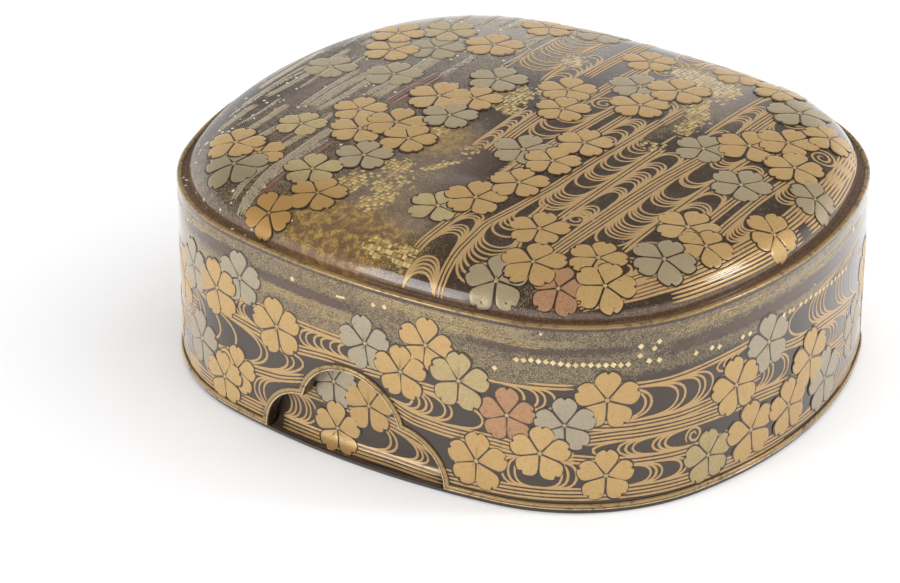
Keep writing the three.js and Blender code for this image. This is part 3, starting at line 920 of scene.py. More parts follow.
# %% Lid wall masks
MIST_EDGE = [
    (-97, 27), (-60, 26.5), (-40, 26), (-28, 25), (-11, 24.8), (5, 24.5), (30, 24.8), (42, 25.5),
    (60, 27.2), (80, 27.5), (95, 28), (110, 29), (140, 27), (165, 26), (190, 25), (215, 26.5), (245, 26),
    (270, 25), (291.4, 27),
]
MIST_STREAKS = [
    (-20, 0, 31.8, 0.8, -0.7), (-22, 1, 29.9, 0.7, 0.95), (15, 42, 33.6, 0.7, 0.5),
    (5, 33, 35.4, 0.7, 0.95), (25, 55, 32.5, 0.7, -0.7), (58, 130, 31.5, 1.0, -0.75),
    (52, 60, 27.3, 0.4, -0.6), (-60, -25, 33.5, 0.9, -0.6), (-50, -22, 29.5, 0.8, 0.4),
    (135, 175, 33.0, 0.9, -0.7), (150, 190, 29.8, 0.8, 0.4), (196, 240, 32.0, 0.9, -0.7),
    (230, 275, 34.0, 0.8, 0.4), (262, 300, 31.0, 0.8, -0.6), (62, 100, 34.6, 0.7, 0.4),
    (100, 128, 34.2, 0.6, 0.4),
]
points = mesh_points(lid_wall)
inset_here, out_x, out_y = inset_at(points[:, 0], points[:, 1])


def along_at(x, y):
    """Distance along the outline of a point, from the middle of the front and to the right."""
    samples = np.linspace(0, PERIMETER, 4001)
    edge_x, edge_y = outline(samples)
    turn_of = np.unwrap(np.arctan2(edge_x, -edge_y))
    return np.interp(np.mod(np.arctan2(x, -y), 2 * pi), turn_of - turn_of[0], samples)


def from_front(along):
    return np.mod(along + QUARTER, PERIMETER) - QUARTER


def mist_edge(along):
    return np.interp(from_front(along), *zip(*MIST_EDGE))


along = along_at(points[:, 0] + out_x * inset_here, points[:, 1] + out_y * inset_here)
centred = from_front(along)
height = points[:, 2]
above = np.clip((height - mist_edge(along)) / 1.2 + 0.4, 0, 1)
streaky = drift_noise(centred * 0.09, height * 1.5, 11)
mist = above * (0.66 + 0.5 * (streaky - 0.5))
for first, last, level, half, change in MIST_STREAKS:
    in_streak = np.clip(1.6 - np.abs(height - level) / half, 0, 1) * band(centred, first, last, 8)
    mist = mist + above * change * in_streak
mist = np.clip(mist, 0, 1) * (inset_here < 0.3)
store_value(lid_wall, "dust", mist)
store_value(lid_wall, "foil", 0 * mist)
store_value(lid_wall, "speck", 0.012 * above)
store_value(lid_wall, "rust", 0.35 * above * np.clip(1 - mist * 3, 0, 1))
store_value(lid_wall, "bronze", 0.3 * band(centred, -110, 10, 40) * above)

# %% [markdown]
# Two gold edges stand on the lid. The upper one is a plain half-round bead on the rim. The lower one frames
# the mouth of the lid: it follows the lower edge, turns up round each notch, and carries a fine raised lip
# beside a groove. Its colour carries painted light: a painted highlight along the lip, and painted shade in
# the groove and at both edges.

# %% Rim bead
BEAD_STEPS = 8
bead_turns = np.linspace(0, pi, BEAD_STEPS + 1)
bead_profile = [(TOP_BEAD_WIDTH / 2 * (1 - cos(a)), LEDGE_Z + TOP_BEAD_HEIGHT * sin(a)) for a in bead_turns]
# A middle painted light value, so the rim bead gets neither painted highlight nor painted shade.
bm = net_of_rings(place_rings(bead_profile), closed=True, row_values=[0.6] * len(bead_profile))
finish_piece(bm, "rim_bead", [gold_edge], "lid", sharp=60, replaces=["lid_top_bead"])

# %% Mouth bead
LOBE_POINTS = 18
LEVEL_POINTS = 122
# Each row is across, out and a painted light value: high paints a highlight on the lip, low paints shade in the
# groove and at the edges.
MOUTH_SECTION = [
    (0.00, 0.00, 0.0), (0.00, 0.30, 0.9), (0.10, 0.42, 1.0), (0.24, 0.40, 0.9), (0.30, 0.28, 0.1),
    (0.38, 0.30, 0.1), (0.48, 0.44, 0.5), (0.75, 0.47, 0.6), (0.98, 0.40, 0.5), (1.10, 0.22, 0.2),
    (1.10, 0.00, 0.0),
]


def mouth_line(offset):
    """One side of the mouth: along and height of the line that keeps this distance from the lower edge."""
    side_radius = SIDE_LOBE_RADIUS + offset
    main_radius = MAIN_LOBE_RADIUS + offset
    side_z, main_z = FOOT_HEIGHT, MAIN_LOBE_Z
    line_z = FOOT_HEIGHT + offset
    foot_turn = np.arcsin((line_z - side_z) / side_radius)
    gap_s, gap_z = SIDE_LOBE_OFFSET, side_z - main_z
    gap = hypot(gap_s, gap_z)
    toward_side = (main_radius**2 - side_radius**2 + gap**2) / (2 * gap)
    half_chord = sqrt(main_radius**2 - toward_side**2)
    cusp_s = (toward_side * gap_s - half_chord * gap_z) / gap
    cusp_z = main_z + (toward_side * gap_z + half_chord * gap_s) / gap
    side_turns = np.linspace(foot_turn, np.arctan2(cusp_z - side_z, cusp_s - SIDE_LOBE_OFFSET), LOBE_POINTS)
    main_turns = np.linspace(np.arctan2(cusp_z - main_z, cusp_s), pi / 2, LOBE_POINTS)[1:]
    side_s = SIDE_LOBE_OFFSET + side_radius * np.cos(side_turns)
    half_s = np.concatenate([side_s, main_radius * np.cos(main_turns)])
    side_up = side_z + side_radius * np.sin(side_turns)
    half_z = np.concatenate([side_up, main_z + main_radius * np.sin(main_turns)])
    notch_s = np.concatenate([-half_s, half_s[-2::-1]])
    notch_z = np.concatenate([half_z, half_z[-2::-1]])
    level_s = np.linspace(notch_s[-1], PERIMETER / 2 + notch_s[0], LEVEL_POINTS)[1:-1]
    one_s = np.concatenate([notch_s, level_s])
    one_z = np.concatenate([notch_z, np.full_like(level_s, line_z)])
    return np.concatenate([one_s, one_s + PERIMETER / 2]), np.concatenate([one_z, one_z])


rings = []
for across, out, painted_brightness in MOUTH_SECTION:
    line_s, line_z = mouth_line(MOUTH_BEAD_EDGE + across)
    x, y = outline(line_s, out)
    rings.append(np.stack([x, y, line_z], axis=-1))
bm = net_of_rings(rings, closed=True, row_values=[painted_brightness for across, out, painted_brightness in MOUTH_SECTION])
finish_piece(bm, "mouth_bead", [gold_edge], "lid", sharp=60, replaces=["lid_mouth_bead"])

# %% [markdown]
# The body under the lid has a flat base with a thin dark foot that shows below the lid, an upright wall
# that the lid slides over, and a small hollow curve from foot to wall in each notch.

# %% Body base and wall
LIP_PAINTED_LIGHT = 0.4
base_profile = [
    (0, 0, 0), (0, 0, 0.35), (0, 0, 0.7), (FOOT_EDGE_ROUND, 0), (FOOT_EDGE_ROUND / 3, 0.1),
    (0, FOOT_EDGE_ROUND), (0, FOOT_HEIGHT - 0.12), (0.12, FOOT_HEIGHT), (1.2, FOOT_HEIGHT),
    (BODY_INSET, FOOT_HEIGHT),
    (BODY_INSET, BASE_THICKNESS), (BODY_INSET + BODY_WALL_THICKNESS, BASE_THICKNESS),
    (0, BASE_THICKNESS, 0.7), (0, BASE_THICKNESS, 0.35), (0, BASE_THICKNESS, 0),
]
bm = net_of_rings(place_rings(base_profile), closed=False)
foot_finishes = [plain_black, sprinkled_black]
foot = finish_piece(bm, "foot_and_base", foot_finishes, "body", replaces=["body_base"])
give_finish(foot, 1, lambda centre, normal: normal.z > 0.5 and centre.z > 2.9)

inner_inset = BODY_INSET + BODY_WALL_THICKNESS
wall_profile = [(BODY_INSET, z) for z in np.linspace(BASE_THICKNESS, BODY_TOP_Z - LIP_CHAMFER, 34)]
wall_profile += [(BODY_INSET + LIP_CHAMFER, BODY_TOP_Z), (inner_inset - LIP_CHAMFER, BODY_TOP_Z)]
wall_profile += [(inner_inset, z) for z in np.linspace(BODY_TOP_Z - LIP_CHAMFER, BASE_THICKNESS, 6)]
bm = net_of_rings(place_rings(wall_profile), closed=True)
body_finishes = [decorated_ground, sprinkled_black, gold_edge]
body_wall = finish_piece(bm, "body_wall_board", body_finishes, "body", replaces=["body_wall"])
give_finish(body_wall, 1, lambda centre, normal: outward(centre)[0] > inner_inset - 0.3)
give_finish(body_wall, 2, lambda centre, normal: centre.z > BODY_TOP_Z - LIP_CHAMFER + 0.02)
# A middle painted light value on the lip: neither painted highlight nor painted shade.
store_value(body_wall, "painted_light", np.full(len(body_wall.data.vertices), LIP_PAINTED_LIGHT))
store_blank(body_wall)

# %% Notch fillets
FILLET_EDGE = 0.3
FILLET_REACH = 18.8
FILLET_STATIONS = 41
FILLET_BACK = BODY_INSET + 0.1
FILLET_MEETS_WALL = BODY_INSET - 0.02


def fillet_section(along, middle):
    highest = notch_height(along) - FILLET_SIDE_GAP
    rows = [(FILLET_BACK, FOOT_HEIGHT), (FILLET_EDGE, FOOT_HEIGHT)]
    for turn_here in np.linspace(0, pi / 2, 9):
        inset = FILLET_EDGE + (FILLET_MEETS_WALL - FILLET_EDGE) * sin(turn_here)
        rise = FILLET_LIP + (FILLET_RISE - FILLET_LIP) * (1 - cos(turn_here))
        rows.append((inset, FOOT_HEIGHT + min(rise, highest)))
    rows.append((FILLET_BACK, rows[-1][1]))
    section = []
    for inset, z in rows:
        x, y = outline(middle + along, -inset)
        section.append((float(x), float(y), float(z)))
    return section


stations = FILLET_REACH * np.sin(np.linspace(-pi / 2, pi / 2, FILLET_STATIONS))
for side, middle in (("front", 0.0), ("back", PERIMETER / 2)):
    bm = net_of_rings([fillet_section(along_here, middle) for along_here in stations], closed=False)
    bmesh.ops.holes_fill(bm, edges=[rim for rim in bm.edges if rim.is_boundary], sides=0)
    store_blank(finish_piece(
        bm, f"hollow_fillet_{side}", [decorated_ground], "body", replaces=[f"notch_fillet_{side}"],
    ))


# %% [markdown]
# The blossoms are raised a little above the water. One petal is modelled as a template: its outline is a
# face that is pulled up and then drawn in for a soft edge. Each blossom is five turned copies on a patch of
# dark ground, laid out flat and wrapped onto the box afterwards. Where blossoms overlap, the upper one
# stands a level higher.

# %% Petal template
PETAL_HALF = [
    (0.5, 0.12), (1.2, 0.62), (2.0, 1.24), (2.9, 1.87), (3.7, 2.27), (4.35, 2.28), (4.95, 1.98), (5.42, 1.5),
    (5.74, 1.0), (5.86, 0.55),
]
PETAL_NOTCH = 5.3
TEMPLATE_RADIUS = 5.8
GROUND_ARM = [(4.40, 2.56), (5.10, 2.22), (5.66, 1.62), (6.02, 0.8)]
GROUND_NOTCH = 5.75
GROUND_GAP = 3.75
PETAL_LOW = -0.05
PETAL_EDGE = 0.075
PETAL_TOP = 0.098
GROUND_TOP = 0.046
LEVEL_STEP = 0.062
HUB_RADIUS = 0.5
HUB_TOP = 0.12
SOFT_EDGE = 0.12
INNER_EDGE = 0.5
HUB_SIDES = 10
HUB_TAPER = 0.75


def both_sides(half, tip):
    """An outline from one half, its mirror image and the tip between them."""
    return [(r, -w) for r, w in half] + [(tip, 0)] + [(r, w) for r, w in half[::-1]]


def raise_face(bm, face):
    """Pull a face up, and give the new points and the new face."""
    up = bmesh.ops.extrude_face_region(bm, geom=[face])["geom"]
    kinds = (bmesh.types.BMVert, bmesh.types.BMFace)
    return [[item for item in up if isinstance(item, kind)] for kind in kinds]


def petal_template():
    bm = bmesh.new()
    rim = [bm.verts.new((x, y, PETAL_LOW)) for x, y in both_sides(PETAL_HALF, PETAL_NOTCH)]
    edge_points, top = raise_face(bm, bmesh.ops.contextual_create(bm, geom=rim)["faces"][0])
    for vert in edge_points:
        vert.co.z = PETAL_EDGE
    bmesh.ops.inset_region(bm, faces=top, thickness=SOFT_EDGE, use_even_offset=True, use_boundary=True)
    for vert in {vert for part in top for vert in part.verts}:
        vert.co.z = PETAL_TOP
    bmesh.ops.inset_region(bm, faces=top, thickness=INNER_EDGE, use_even_offset=True, use_boundary=True)
    bmesh.ops.poke(bm, faces=top)
    bmesh.ops.recalc_face_normals(bm, faces=bm.faces)
    return bm


def hub_template():
    bm = bmesh.new()
    disc = bmesh.ops.create_circle(bm, cap_ends=True, segments=HUB_SIDES, radius=HUB_RADIUS)["verts"]
    bmesh.ops.translate(bm, vec=(0, 0, PETAL_LOW), verts=disc)
    for vert in raise_face(bm, list(bm.faces)[0])[0]:
        vert.co = (HUB_TAPER * vert.co.x, HUB_TAPER * vert.co.y, HUB_TOP)
    bmesh.ops.recalc_face_normals(bm, faces=bm.faces)
    return bm


def ground_template():
    """Five-armed patch under a blossom, as rings of one star so that it can bend over a curve."""
    star = []
    gap = radians(-36)
    arm_points = [(GROUND_GAP * cos(gap), GROUND_GAP * sin(gap)), *both_sides(GROUND_ARM, GROUND_NOTCH)]
    for arm in range(5):
        c, s = cos(radians(72 * arm)), sin(radians(72 * arm))
        star += [(x * c - y * s, x * s + y * c) for x, y in arm_points]
    rows = [[(x * share, y * share, GROUND_TOP) for x, y in star] for share in (0, 0.3, 0.55, 0.8, 1.0)]
    rows.append([(x, y, PETAL_LOW) for x, y in star])
    rows += [[(x * share, y * share, PETAL_LOW) for x, y in star] for share in (0.6, 0)]
    bm = net_of_rings(rows, closed=False)
    bmesh.ops.scale(bm, vec=(1 / MM, 1 / MM, 1 / MM), verts=bm.verts)
    bmesh.ops.recalc_face_normals(bm, faces=bm.faces)
    return bm


def as_mesh(name, bm):
    mesh = bpy.data.meshes.new(name)
    bm.to_mesh(mesh)
    bm.free()
    print(name, "faces:", len(mesh.polygons))
    return mesh


petal_mesh = as_mesh("petal_template", petal_template())
ground_mesh = as_mesh("ground_template", ground_template())
hub_mesh = as_mesh("hub_template", hub_template())

# %% [markdown]
# The blossoms are copied into one mesh for each carrier. A small table gives the finish, the middle, the
# turn and the radius of every blossom, in the order in which they are laid. The height of a blossom is one
# level above any earlier one that it touches.

# %% Blossom helper
BLOSSOM_FINISHES = [plain_black, gold_leaf, silver_leaf, pale_leaf, red_leaf, old_silver_leaf]
FINISH_OF = {"g": 1, "s": 2, "p": 3, "r": 4, "o": 5}
TOUCHING = 0.98
THIN_EDGE_TONE = 0.7


def blossom_levels(blossoms, most):
    levels = []
    for index, (tone, x, y, turn_here, radius) in enumerate(blossoms):
        level = 0
        for (_, other_x, other_y, _, other_radius), below in zip(blossoms[:index], levels):
            if hypot(x - other_x, y - other_y) < TOUCHING * (radius + other_radius):
                level = max(level, below + 1)
        levels.append(min(level, most))
    return levels


def lay_blossoms(
    name, blossoms, wrap, body, most_levels=3, step=LEVEL_STEP, height_scale=1.0, deepen=None, cuts=(),
):
    """Copy the templates flat, then wrap every point onto its carrier. Deepen adds to the tone by place.

    The cuts are levels where the flat blossoms are split, so that they can follow a tight curve."""
    bm = bmesh.new()
    tone_layer = bm.verts.layers.float.new("tone")
    chance = np.random.default_rng(len(blossoms))
    levels = blossom_levels(blossoms, most_levels)
    for (finish, x, y, turn_here, radius), level in zip(blossoms, levels):
        grow = radius / TEMPLATE_RADIUS
        own_tone = chance.uniform(0, 0.55)
        rise = level * step
        for arm in range(-1, 6):
            turn_now = radians(turn_here + 72 * max(arm, 0))
            before = len(bm.verts)
            first_face = len(bm.faces)
            bm.from_mesh(ground_mesh if arm < 0 else petal_mesh if arm < 5 else hub_mesh)
            bm.verts.ensure_lookup_table()
            bm.faces.ensure_lookup_table()
            bend = chance.uniform(-2.5, 2.5) if arm >= 0 else 0
            stretch = chance.uniform(0.95, 1.03) if arm >= 0 else 1
            turned = Matrix.Rotation(turn_now + radians(bend), 3, "Z")
            for vert in bm.verts[before:]:
                spot = turned @ Vector((vert.co.x * grow * stretch, vert.co.y * grow, 0))
                lift = rise if vert.co.z > 0 else 0
                thin_edge = THIN_EDGE_TONE if 0 <= arm < 5 and vert.co.z < PETAL_TOP - 0.001 else 0
                vert.co = Vector((x + spot.x, y + spot.y, vert.co.z * height_scale + lift))
                vert[tone_layer] = own_tone + thin_edge + (chance.uniform(0, 0.2) if arm >= 0 else 0)
            for face in bm.faces[first_face:]:
                face.material_index = 0 if arm < 0 else FINISH_OF[finish] if arm < 5 else FINISH_OF["p"]
    for level in cuts:
        whole = [*bm.verts, *bm.edges, *bm.faces]
        bmesh.ops.bisect_plane(bm, geom=whole, plane_co=(0, level, 0), plane_no=(0, 1, 0), dist=1e-5)
    bmesh.ops.scale(bm, vec=(MM, MM, MM), verts=bm.verts)
    piece = finish_piece(bm, name, BLOSSOM_FINISHES, body, sharp=70)
    placed = wrap_piece(piece, wrap)
    if deepen:
        tone = piece.data.attributes["tone"].data
        tones = np.empty(len(placed), dtype=np.float32)
        tone.foreach_get("value", tones)
        tones += deepen(placed[:, 0], placed[:, 1]).astype(np.float32)
        tone.foreach_set("value", tones)


def wrap_wall(along, z, height, inset=0.0):
    x, y = outline(along, height - inset)
    return np.stack([x, y, z], axis=-1)


# %% Blossoms on the lid top
LID_BLOSSOMS = [
    ("g", -34.6, -35.3, 68, 5.0), ("o", -36.4, -40.6, 40, 6.2), ("g", -41.0, -34.1, 32, 5.8),
    ("p", -34.9, -22.2, 28, 5.0), ("g", -29.0, -11.9, 40, 5.4), ("g", -23.9, -19.0, 36, 5.8),
    ("g", -19.5, -13.5, 36, 5.8), ("g", -13.6, -18.0, 24, 5.4), ("o", -16.9, -27.3, 40, 5.4),
    ("p", -22.1, -36.0, 44, 5.4), ("g", -16.2, -42.4, 32, 5.4), ("g", -21.7, -49.4, 56, 5.0),
    ("o", -33.0, 4.6, 36, 5.8), ("o", -33.4, 19.5, 36, 5.8), ("g", -25.0, 26.9, 40, 6.0),
    ("g", -40.5, 14.5, 30, 5.6), ("o", -12.7, -6.1, 36, 5.4), ("g", -19.3, 0.0, 36, 6.2),
    ("g", -13.1, 2.6, 32, 5.4), ("o", -14.4, 12.4, 32, 5.8), ("p", 4.9, -35.3, 28, 5.4),
    ("g", 9.1, -29.6, 40, 5.8), ("g", 12.7, -21.2, 40, 5.4), ("g", 24.5, -32.5, 36, 5.4),
    ("r", 36.4, -44.6, 36, 5.0), ("o", 26.0, -48.1, 40, 5.8), ("g", 29.5, -42.0, 36, 5.8),
    ("o", 6.3, -10.2, 32, 5.8), ("g", 13.3, -11.1, 36, 5.4), ("g", -1.1, 16.4, 44, 5.8),
    ("g", 2.9, 8.2, 40, 5.4), ("g", 14.1, -1.7, 36, 5.4), ("o", 8.6, 26.3, 40, 6.0),
    ("g", 13.6, 18.5, 44, 5.8), ("g", 15.7, 29.0, 40, 6.2), ("g", 3.2, 38.8, 48, 5.4),
    ("o", 32.2, 10.3, 32, 5.4), ("g", 38.1, 16.9, 36, 6.2), ("g", 42.8, 22.9, 32, 5.8),
    ("g", 47.3, 30.6, 48, 5.0), ("o", 44.6, 2.9, 24, 5.8), ("g", 48.8, 14.9, 44, 5.8),
    ("o", 56.0, 9.6, 52, 5.0), ("o", 38.2, 35.5, 48, 6.2), ("g", 45.0, -16.3, 24, 5.8),
    ("g", 50.6, -19.5, 32, 5.0), ("g", 56.6, -5.9, 44, 5.4), ("g", 38.1, -34.7, 32, 5.4),
    ("o", 47.3, -28.0, 32, 5.8), ("g", 42.7, -39.7, 36, 5.4), ("o", -46.0, 2.0, 20, 5.4),
    ("g", 20.0, 44.5, 44, 5.4), ("o", -12.0, 46.0, 30, 5.6), ("g", 30.0, 42.5, 20, 5.2),
    ("g", -22.0, 42.0, 50, 5.4), ("p", -36.5, 28.5, 10, 5.6), ("g", -44.5, 22.5, 20, 5.4),
]
tones, plan_x, plan_y, turns, radii = zip(*LID_BLOSSOMS)
flat_x, flat_y = flat_from_plan(np.array(plan_x), np.array(plan_y))
lid_blossoms = list(zip(tones, flat_x.tolist(), flat_y.tolist(), turns, radii))


def deeper_in_front(x, y):
    """The blossoms that bend over the front left shoulder are given a deeper gold."""
    return 1.3 * band(y, -70, -39, 7) * band(x, -40, 4, 8)


lay_blossoms("lid_top_blossoms", lid_blossoms, wrap_lid_top, "lid", deepen=deeper_in_front)

# %% Blossoms on the walls
WALL_BLOSSOMS = [
    ("s", -25.8, 29.0, 20, 5.4), ("g", -32.3, 24.5, 32, 5.8), ("s", -38.4, 11.2, 24, 5.8),
    ("g", -27.3, 9.6, 16, 5.0), ("g", -30.9, 6.6, 24, 5.2), ("g", -16.6, 22.4, 28, 5.8),
    ("s", 3.5, 25.8, 28, 5.4), ("g", 15.9, 29.0, 12, 5.4), ("g", 10.9, 22.3, 20, 5.4),
    ("r", 31.5, 18.8, 20, 5.4), ("p", 22.4, 23.6, 16, 5.8), ("g", 25.8, 8.2, 16, 5.8),
    ("g", 49.0, 22.9, 16, 5.8), ("s", 41.7, 18.0, 20, 5.4), ("g", 37.5, 12.1, 16, 5.4),
    ("g", 49.1, 7.7, 16, 5.2), ("p", 69.2, 7.3, 20, 5.4), ("s", 83.4, 25.0, 28, 5.8),
    ("g", 75.2, 19.4, 28, 5.8), ("g", 79.5, 8.6, 24, 6.0), ("g", 90.2, 9.1, 24, 5.8),
    ("g", 97.0, 15.9, 20, 6.0), ("s", 103.4, 8.6, 20, 6.2), ("s", 118.6, 11.9, 12, 6.0),
]
REPEAT_AT = 270.0
HIDDEN_SIDE_BLOSSOMS = [
    ("g", 127.5, 20.5, 24, 5.8), ("g", 134.0, 9.0, 20, 5.4), ("p", 141.5, 17.0, 28, 5.6),
    ("s", 316.5, 9.5, 20, 5.8), ("g", 322.5, 15.5, 26, 5.6), ("g", 333.5, 8.5, 18, 5.4),
    ("g", 341.5, 20.5, 22, 5.8), ("s", 347.8, 25.5, 30, 5.2),
]


CLEAR_OF_NOTCH = 18.4
OVER_NOTCH = 24


def clear_of_notch(row):
    return hypot(from_notch(row[1]), row[2] - MAIN_LOBE_Z) > CLEAR_OF_NOTCH or row[2] > OVER_NOTCH


repeated = [(tone, REPEAT_AT - s, z, 180 - turned, radius) for tone, s, z, turned, radius in WALL_BLOSSOMS]
wall_blossoms = WALL_BLOSSOMS + [row for row in repeated + HIDDEN_SIDE_BLOSSOMS if clear_of_notch(row)]
lay_blossoms("lid_wall_blossoms", wall_blossoms, wrap_wall, "lid", most_levels=2)


# %% [markdown]
# The water is drawn in painted gold lines of one brush width. Each line is a flat curve with a low, wide
# bevel profile, so its top is gold and its slanting sides show the brown under-paint. The curves are made
# on flat paper first, turned into a mesh, and wrapped onto the box as the blossoms were.

# %% Brush line
LINE_HALF_TOP = 0.165
LINE_HALF_FOOT = 0.45
LINE_LOW = -0.04
LINE_TOP = 0.034
LINE_STEP = 0.8
brush_curve = bpy.data.curves.new("brush_profile", "CURVE")
brush_curve.dimensions = "2D"
brush_spline = brush_curve.splines.new("POLY")
brush_spline.points.add(3)
foot_corners = [(-LINE_HALF_FOOT, LINE_LOW), (LINE_HALF_FOOT, LINE_LOW)]
brush_corners = [*foot_corners, (LINE_HALF_TOP, LINE_TOP), (-LINE_HALF_TOP, LINE_TOP)]
for point, corner in zip(brush_spline.points, brush_corners):
    point.co = (*corner, 0, 1)
brush_spline.use_cyclic_u = True
brush = bpy.data.objects.new("brush_profile", brush_curve)


def even_steps(path, step=LINE_STEP):
    """The same path with points at even distances."""
    path = np.asarray(path, float)
    walked = np.concatenate([[0], np.cumsum(np.hypot(*np.diff(path, axis=0).T))])
    count = max(2, int(walked[-1] / step) + 1)
    places = np.linspace(0, walked[-1], count)
    return np.stack([np.interp(places, walked, path[:, 0]), np.interp(places, walked, path[:, 1])], axis=-1)


def kept_runs(path, keep):
    """The stretches of a path whose points pass the test."""
    mask = keep(path[:, 0], path[:, 1])
    runs, start = [], None
    for index, good in enumerate(mask):
        if good and start is None:
            start = index
        if start is not None and (not good or index == len(mask) - 1):
            end = index + 1 if good else index
            if end - start >= 3:
                runs.append(path[start:end])
            start = None
    return runs


def draw_lines(name, paths, keep, wrap, body, finish, width=1.0):
    """Draw the kept stretches of flat paths with the brush, and wrap them onto the box."""
    curve = bpy.data.curves.new(name, "CURVE")
    curve.dimensions = "2D"
    curve.bevel_mode = "OBJECT"
    curve.bevel_object = brush
    curve.use_fill_caps = True
    chance = np.random.default_rng(len(paths))
    for path in paths:
        for run in kept_runs(even_steps(path), keep):
            spline = curve.splines.new("POLY")
            spline.points.add(len(run) - 1)
            ends = np.minimum(np.arange(len(run)), np.arange(len(run))[::-1])
            swell = 1 + 0.10 * np.sin(np.arange(len(run)) * 0.45 + chance.uniform(0, 6))
            widths = width * swell * np.clip(0.35 + 0.35 * ends, 0, 1)
            for point, (x, y), radius in zip(spline.points, run, widths):
                point.co = (x, y, 0, 1)
                point.radius = radius
    print(name, "strokes:", len(curve.splines))
    holder = bpy.data.objects.new(name + "_flat", curve)
    scene.collection.objects.link(holder)
    bpy.context.view_layer.update()
    drawn = bpy.data.meshes.new_from_object(holder.evaluated_get(bpy.context.evaluated_depsgraph_get()))
    bpy.data.objects.remove(holder)
    bm = bmesh.new()
    bm.from_mesh(drawn)
    gilt_layer = bm.verts.layers.float.new("gilt")
    for vert in bm.verts:
        vert[gilt_layer] = 1.0 if vert.co.z > 0 else 0.0
    bmesh.ops.scale(bm, vec=(MM, MM, MM), verts=bm.verts)
    wrap_piece(finish_piece(bm, name, [finish], body, sharp=180), wrap)


# %% [markdown]
# Two kinds of strokes make the water. A river is a bundle of nearly straight lines side by side. Between
# two rivers the water curls: a stack of hairpins whose arms run into the rivers. The hairpin is one smooth
# curve. Its tip is round, and far from the tip its arms come ever closer to the rivers without a kink.

# %% Strokes
PITCH = 0.74
HAIRPIN_REACH = 2.44
SPIRAL_START = 0.5
SMOOTH_SAMPLES = 241
SMOOTH_SPREAD = 6


def smooth_line(points, at):
    """Interpolate a given centre line, with its corners eased."""
    knots = sorted(points)
    place, value = np.array([k[0] for k in knots], float), np.array([k[1] for k in knots], float)
    fine = np.linspace(place[0], place[-1], SMOOTH_SAMPLES)
    raw = np.interp(fine, place, value)
    spread = max(3, int(SMOOTH_SAMPLES * SMOOTH_SPREAD / max(place[-1] - place[0], 12)) | 1)
    padded = np.pad(raw, spread, mode="reflect", reflect_type="odd")
    window = np.hanning(spread + 2)[1:-1]
    eased = np.convolve(padded, window / window.sum(), mode="same")[spread:-spread]
    return np.interp(at, fine, eased)


def river(points, count):
    """Lines side by side along a river; the river runs along the first number of each pair."""
    at = np.arange(min(points)[0], max(points)[0], LINE_STEP)
    middle = smooth_line(points, at)
    return [np.stack([at, middle + (i - (count - 1) / 2) * PITCH], axis=-1) for i in range(count)]


def hairpin(apex, heading, low_side, high_side, depth=2.0):
    """A curl between two river edges, opening away from its apex."""
    u = np.linspace(-HAIRPIN_REACH, HAIRPIN_REACH, 41)
    share = np.tanh(u)
    run = apex - heading * 2 * depth * np.log(np.cosh(u))
    low, high = low_side(run), high_side(run)
    across = (low + high) / 2 + share * (high - low) / 2
    return np.stack([run, across], axis=-1)


def spiral(middle, across, heading=1, turns=2.2, growth=1.122):
    turn_here = np.linspace(0, 2 * pi * turns, int(26 * turns))
    radius = SPIRAL_START + growth * turn_here / (2 * pi)
    along = middle + radius * np.cos(heading * turn_here)
    return np.stack([along, across + radius * np.sin(heading * turn_here)], axis=-1)


def river_edge(rivers, name, side):
    """One edge of a river as a function of the place along it. Past its ends the edge runs on level."""
    if name == "mist":
        return lambda at: mist_edge(at) + 1.0
    count, points = rivers[name]
    reach = side * ((count - 1) / 2) * PITCH
    return lambda at: smooth_line(points, np.clip(at, min(points)[0], max(points)[0])) + reach


def water_paths(rivers, hairpins, spirals=()):
    paths = []
    for count, points in rivers.values():
        paths += river(points, count)
    for low, high, heading, tips, *depth in hairpins:
        edges = river_edge(rivers, low, 1), river_edge(rivers, high, -1)
        paths += [hairpin(tip, heading, *edges, *depth) for tip in tips]
    return paths + [spiral(*row) for row in spirals]
